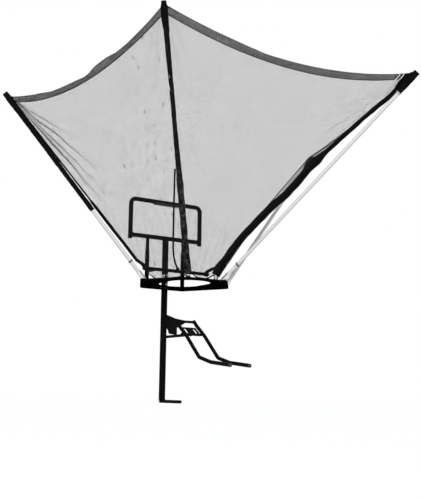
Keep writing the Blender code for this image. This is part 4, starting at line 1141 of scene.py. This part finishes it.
def corner_patch(name, corner, first_way, second_way, size, curve):
    """A sewn reinforcement over a panel's top corner: a three-sided sheet from the pole's tip whose far
    edge curves in or, with a curve above 0, out."""
    v, u = shares_over((PATCH_STEPS, PATCH_STEPS))
    a, b = first_way * size[0], second_way * size[1]
    reach = u * (1 + curve * np.sin(v * math.pi))
    puff = 0.0016 * np.sin(u * math.pi) * np.sin(v * math.pi)
    points = corner + reach[..., None] * (a * (1 - v)[..., None] + b * v[..., None])
    points = points + unit(np.cross(a, b)) * puff[..., None]
    uvs = paired(u * size[0] * (1 - v), u * size[1] * v)
    dress(sheet_object(name, points, uvs, PATCH_THICKNESS))


# Reach of each corner's patch along the hem and down the edge, and the curve of its far edge
PATCHES = {
    ("left", "left"): ((0.030, 0.070), -0.18), ("left", "right"): ((0.026, 0.060), -0.18),
    ("front", "left"): ((0.026, 0.060), -0.18), ("front", "right"): ((0.078, 0.150), 0.32),
    ("right", "left"): ((0.050, 0.130), -0.18), ("right", "right"): ((0.045, 0.070), -0.18),
}


def build_corner_patches():
    """Black gussets where hem, band and pocket meet at each tip."""
    start = np.zeros(1)
    for (side, edge), (size, curve) in PATCHES.items():
        panel = PANELS[side]
        here, there = (panel.left, panel.right) if edge == "left" else (panel.right, panel.left)
        corner = here(start)[0]
        across = np.array([0.04 if edge == "left" else 0.96])
        along_hem = unit(panel.at(across, start)[0] - corner)
        along_edge = unit(here(np.array([0.1]))[0] - corner)
        overlap = unit(corner - there(start)[0]) * PATCH_OVERLAP
        normal = panel.normals(across, np.array([0.03]))[0]
        lift = normal * math.copysign(PATCH_LIFT, normal @ panel.out)
        corner_patch(f"patch_{side}_{edge}", corner + overlap + lift, along_hem, along_edge, size, curve)


def cord_ring(name, pole, place, radius, node, **looks):
    """A cord tied round a pole: turns that lie side by side, and a small knot."""
    wide = unit(np.cross(pole.axis, (0, 0, 1)))
    deep = np.cross(pole.axis, wide)
    inner = POLE_RADIUS + TIE_GAP
    turn = np.linspace(0, TAU * TIE_TURNS, 40 * TIE_TURNS)
    rise = (turn / TAU - TIE_TURNS / 2) * radius * 2.1
    path = place + circle(turn, wide, deep) * (inner + radius) + pole.axis * rise[:, None]
    dress(swept(name, path, radius, 10, pole.axis), node=node, **looks)
    turn = np.linspace(0, TAU * 1.4, 50)
    knot = place + wide * (inner + radius * 2.4) + circle(turn, deep, pole.axis) * radius * 1.7
    knot = knot + wide * (np.sin(turn * 1.5) * radius * 0.8)[:, None]
    dress(swept(f"{name}_knot", knot, radius * 0.9, 9, (0.3, 0.2, 1)), **looks)


def build_ties():
    """The pale cord under the front right pocket, and the loops at the feet of two poles."""
    right = POLES["front_right"]
    cord_ring("tie_front_right", right, right.below_tip(POCKET_LENGTH + 0.005), TIE_RADIUS,
              "corner_tie_front_right", slot="white_cord")
    for corner in ("rear_left", "front_right"):
        pole = POLES[corner]
        cord_ring(f"foot_tie_{corner}", pole, pole.at(FOOT_TIE_HEIGHT), FOOT_TIE_RADIUS,
                  f"pole_strap_{corner}")


def build_hem_lacing():
    """Two turns of pale cord round the end of the front hem, where it is laced to the pocket."""
    turn = np.linspace(0, TAU, 49)
    end = PANELS["front"].at(np.ones(1), np.zeros(1))[0]
    for number, across in enumerate(LACING_SHARES):
        marks, _ = hem_points("front", np.full((1, 3), across), np.array([[-0.06, 0.5, 1.06]]))
        over, middle, under = marks[0]
        tall = (under - over) / 2
        deep = unit(np.cross(tall, end - middle))
        path = middle + circle(turn, tall, deep * LACING_REACH)
        dress(swept(f"hem_lacing_{number}", path, LACING_RADIUS, 10, FACING), "white_cord")


def build_draw_cord():
    """The loose tail of draw cord, one smooth curve, ending in a knot."""
    path = smooth_path(CORD_ROUTE, 24)
    data = bpy.data.curves.new("draw_cord_tail", "CURVE")
    data.dimensions = "3D"
    spline = data.splines.new("POLY")
    spline.points.add(len(path) - 1)
    spline.points.foreach_set("co", np.column_stack([path, np.ones(len(path))]).ravel())
    data.bevel_depth = CORD_RADIUS
    data.bevel_resolution = 3
    data.use_fill_caps = True
    cord = dress(add_object("draw_cord_tail", data), node="draw_cord")
    way = unit(path[-1] - path[-2])
    turn = np.linspace(0, TAU * 1.5, 60)
    knot_path = path[-1] + circle(turn, unit(np.cross(way, (0, 1, 0))), (0, 1.0, 0)) * KNOT_TURN_RADIUS
    knot_path = knot_path + way * (turn / TAU * KNOT_LENGTH - 0.002)[:, None]
    knot = dress(swept("draw_cord_knot", knot_path, KNOT_RADIUS, 10, way))


# Welds

def weld_ring(name, centre, axis, radius, body="frame", tilt=None):
    """A bead round a joint: a ring whose section swells and shrinks like laid weld. A tilt stretches
    it into the ellipse where a leaning tube meets a flat face."""
    axis = unit(axis)
    first = unit(np.cross(axis, (0.31, 0.87, 0.12)))
    stretch = 1.0
    if tilt is not None:
        first = clear_of(tilt, axis)
        stretch = 1 / abs(unit(tilt) @ axis)
    turn = np.linspace(0, TAU, WELD_STEPS, endpoint=False)
    path = centre + circle(turn, first * radius * stretch, np.cross(axis, first) * radius)
    section = np.linspace(0, TAU, WELD_SIDES, endpoint=False)
    bead = WELD_SIZE * (1 + 0.16 * np.sin(turn * 17) + 0.08 * np.sin(turn * 5 + 1))
    points = path[:, None] + circle(section, unit(path - centre)[:, None], axis) * bead[:, None, None]
    faces = grid_faces(WELD_STEPS + 1, WELD_SIDES, round_columns=True) % (WELD_STEPS * WELD_SIDES)
    made = new_object(name, points, faces)
    face_outwards(made)
    dress(made, "black_steel", body)


def weld_seam(name, start, end, body):
    """A straight bead with rippled thickness."""
    path = lerp(start, end, np.linspace(0, 1, SEAM_STEPS))
    radius = SEAM_SIZE * (1 + 0.16 * np.sin(np.linspace(0, 90, SEAM_STEPS)))
    radius[[0, -1]] = SEAM_SIZE * 0.4
    dress(swept(name, path, radius, 10, (0.2, 0.5, 0.8)), "black_steel", body)


def box_of(node):
    """Low corner, high corner and middle of a CAD node."""
    low, high = (np.array(corner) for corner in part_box(node))
    return low, high, (low + high) / 2


def build_welds():
    """Beads at the joints of the hanger, struts, mast, sockets, cross tube, brace, gusset and handle."""
    to_right, to_back, up = np.eye(3)
    bar_low, bar_high, bar_middle = box_of("hanger_lower_bar")
    bar_radius = (bar_high[2] - bar_low[2]) / 2
    for side, sign in (("left", -1), ("right", 1)):
        low, high, middle = box_of(f"strut_{side}")
        weld_ring(f"weld_strut_{side}", (middle[0], 0, high[2] + 0.0005), up,
                  (high[0] - low[0]) / 2 + WELD_GAP)
        weld_ring(f"weld_lower_bar_{side}", (sign * (bar_high[0] - 0.0008), 0, bar_middle[2]), to_right,
                  bar_radius + WELD_GAP)
        low, high, middle = box_of(f"strut_sleeve_{side}")
        weld_ring(f"weld_sleeve_{side}", (middle[0], 0, low[2] + 0.0010), up, (high[0] - low[0]) / 2)
    mast_high = box_of("mast")[1]
    weld_ring("weld_mast", (0, 0, mast_high[2] + 0.0008), up, mast_high[0] + WELD_GAP)
    for corner, pole in POLES.items():
        weld_ring(f"weld_socket_{corner}", pole.foot + up * 0.0012, up, SOCKET_WELD_RADIUS,
                  tilt=pole.axis)
    low, high, middle = box_of("chute_cross_tube_upper")
    for side, sign in (("left", -1), ("right", 1)):
        place = middle + to_right * (sign * (high[0] - low[0]) / 2)
        weld_ring(f"weld_upper_{side}", place, to_right, CROSS_TUBE_WELD_RADIUS, "chute")
    low, high, middle = box_of("chute_brace")
    for label, y in (("post", high[1]), ("tube", low[1])):
        weld_ring(f"weld_brace_{label}", (0, y, middle[2]), to_back, BRACE_WELD_RADIUS, "chute")
    low, high, _ = box_of("chute_gusset")
    for label, x in (("left", low[0]), ("right", high[0])):
        start, end = ((x, high[1], high[2] - drop) for drop in GUSSET_WELD_DROPS)
        weld_seam(f"weld_gusset_{label}", start, end, "chute")
    low, high, _ = box_of("swivel_post")
    weld_ring("weld_handle", (0, 0, low[2] + 0.0006), up, high[0] + WELD_GAP, "chute")


# Stage, light and camera

CAMERA_REACH = 200
WHITE = (1, 1, 1, 1)
WORLD_GREY = (0.27, 0.275, 0.285, 1)
FLOOR_UNLIT = (0.42, 0.42, 0.42, 1)
FLOOR_SHOWN = (0.86, 0.86, 0.86, 1)
LAMP_TARGET = (0, -0.4, -0.3)
# Place, size and power of each lamp
LAMPS = {"key": ((-3.3, -5.4, 0.9), 2.4, 285), "fill": ((4.2, -2.6, 1.8), 3.0, 45)}


def add_camera():
    """A camera at the solved place: its look, right and up directions from azimuth, elevation and roll."""
    data = bpy.data.cameras.new("camera")
    data.lens = CAMERA_LENS
    data.sensor_width = SENSOR_SIZE
    data.clip_end = CAMERA_REACH
    camera = add_object("camera", data)
    azimuth, elevation, roll = CAMERA_AZIMUTH, CAMERA_ELEVATION, CAMERA_ROLL
    look = Vector((math.sin(azimuth) * math.cos(elevation), math.cos(azimuth) * math.cos(elevation),
                   math.sin(elevation)))
    right = Vector((math.cos(azimuth), -math.sin(azimuth), 0))
    up = right.cross(look)
    turned_right = right * math.cos(roll) + up * math.sin(roll)
    turned_up = up * math.cos(roll) - right * math.sin(roll)
    turn = Matrix((turned_right, turned_up, -look)).transposed().to_4x4()
    camera.matrix_world = Matrix.Translation(CAMERA_PLACE) @ turn
    bpy.context.scene.camera = camera


def backdrop_share(graph):
    """1 for rays that show the backdrop: the camera's, glossy and transmitted ones."""
    paths = graph.node("ShaderNodeLightPath").outputs
    seen = graph.math("MAXIMUM", paths["Is Camera Ray"], paths["Is Glossy Ray"])
    return graph.math("MAXIMUM", seen, paths["Is Transmission Ray"])


def add_world():
    """White behind the object, and a dimmer grey that lights it softly from all round."""
    world = bpy.data.worlds.new("studio")
    bpy.context.scene.world = world
    world.use_nodes = True
    graph = Graph(world.node_tree)
    background = graph.tree.nodes["Background"].inputs
    graph.feed(background["Color"], graph.mix(backdrop_share(graph), WORLD_GREY, WHITE))
    graph.feed(background["Strength"], 1.0)


def add_floor():
    """A pale floor that shows white where it is lit, keeps the shadow, and bounces little light up."""
    half = FLOOR_SIZE / 2
    corners = [(-half, -half, FLOOR_Z), (half, -half, FLOOR_Z), (half, half, FLOOR_Z), (-half, half, FLOOR_Z)]
    floor = new_object("floor", corners, [(0, 1, 2, 3)])
    paint = Finish("floor_white", Roughness=0.9)
    shown = backdrop_share(paint)
    floor.data.materials.append(paint.to(
        Base_Color=paint.mix(shown, FLOOR_UNLIT, FLOOR_SHOWN), Specular_IOR_Level=0.0,
        Emission_Color=WHITE, Emission_Strength=paint.times(shown, FLOOR_LIFT)))


def add_lamp(name, place, size, power):
    """A round area lamp that faces the middle of the object."""
    data = bpy.data.lights.new(name, "AREA")
    data.shape = "DISK"
    data.size = size
    data.energy = power
    way = Vector(LAMP_TARGET) - Vector(place)
    turn = way.to_track_quat("-Z", "Y").to_matrix().to_4x4()
    add_object(name, data).matrix_world = Matrix.Translation(place) @ turn


def add_stage():
    """World, floor and lamps, with colours shown as they are."""
    add_world()
    add_floor()
    for name, lamp in LAMPS.items():
        add_lamp(name, *lamp)
    bpy.context.scene.view_settings.view_transform = "Standard"


add_camera()
add_stage()
dress_cad_nodes()
build_draw_cord()
build_bands()
build_empty_sleeve()
for panel_side in PANELS:
    net, flat_size, flat_area = build_net_panel(panel_side)
    sewn_on = [*build_hem(panel_side), build_foot_binding(panel_side)]
build_band_straps()
build_pockets()
build_pole_sleeve()
build_corner_patches()
build_ties()
build_hem_lacing()
build_welds()

bpy.context.view_layer.update()
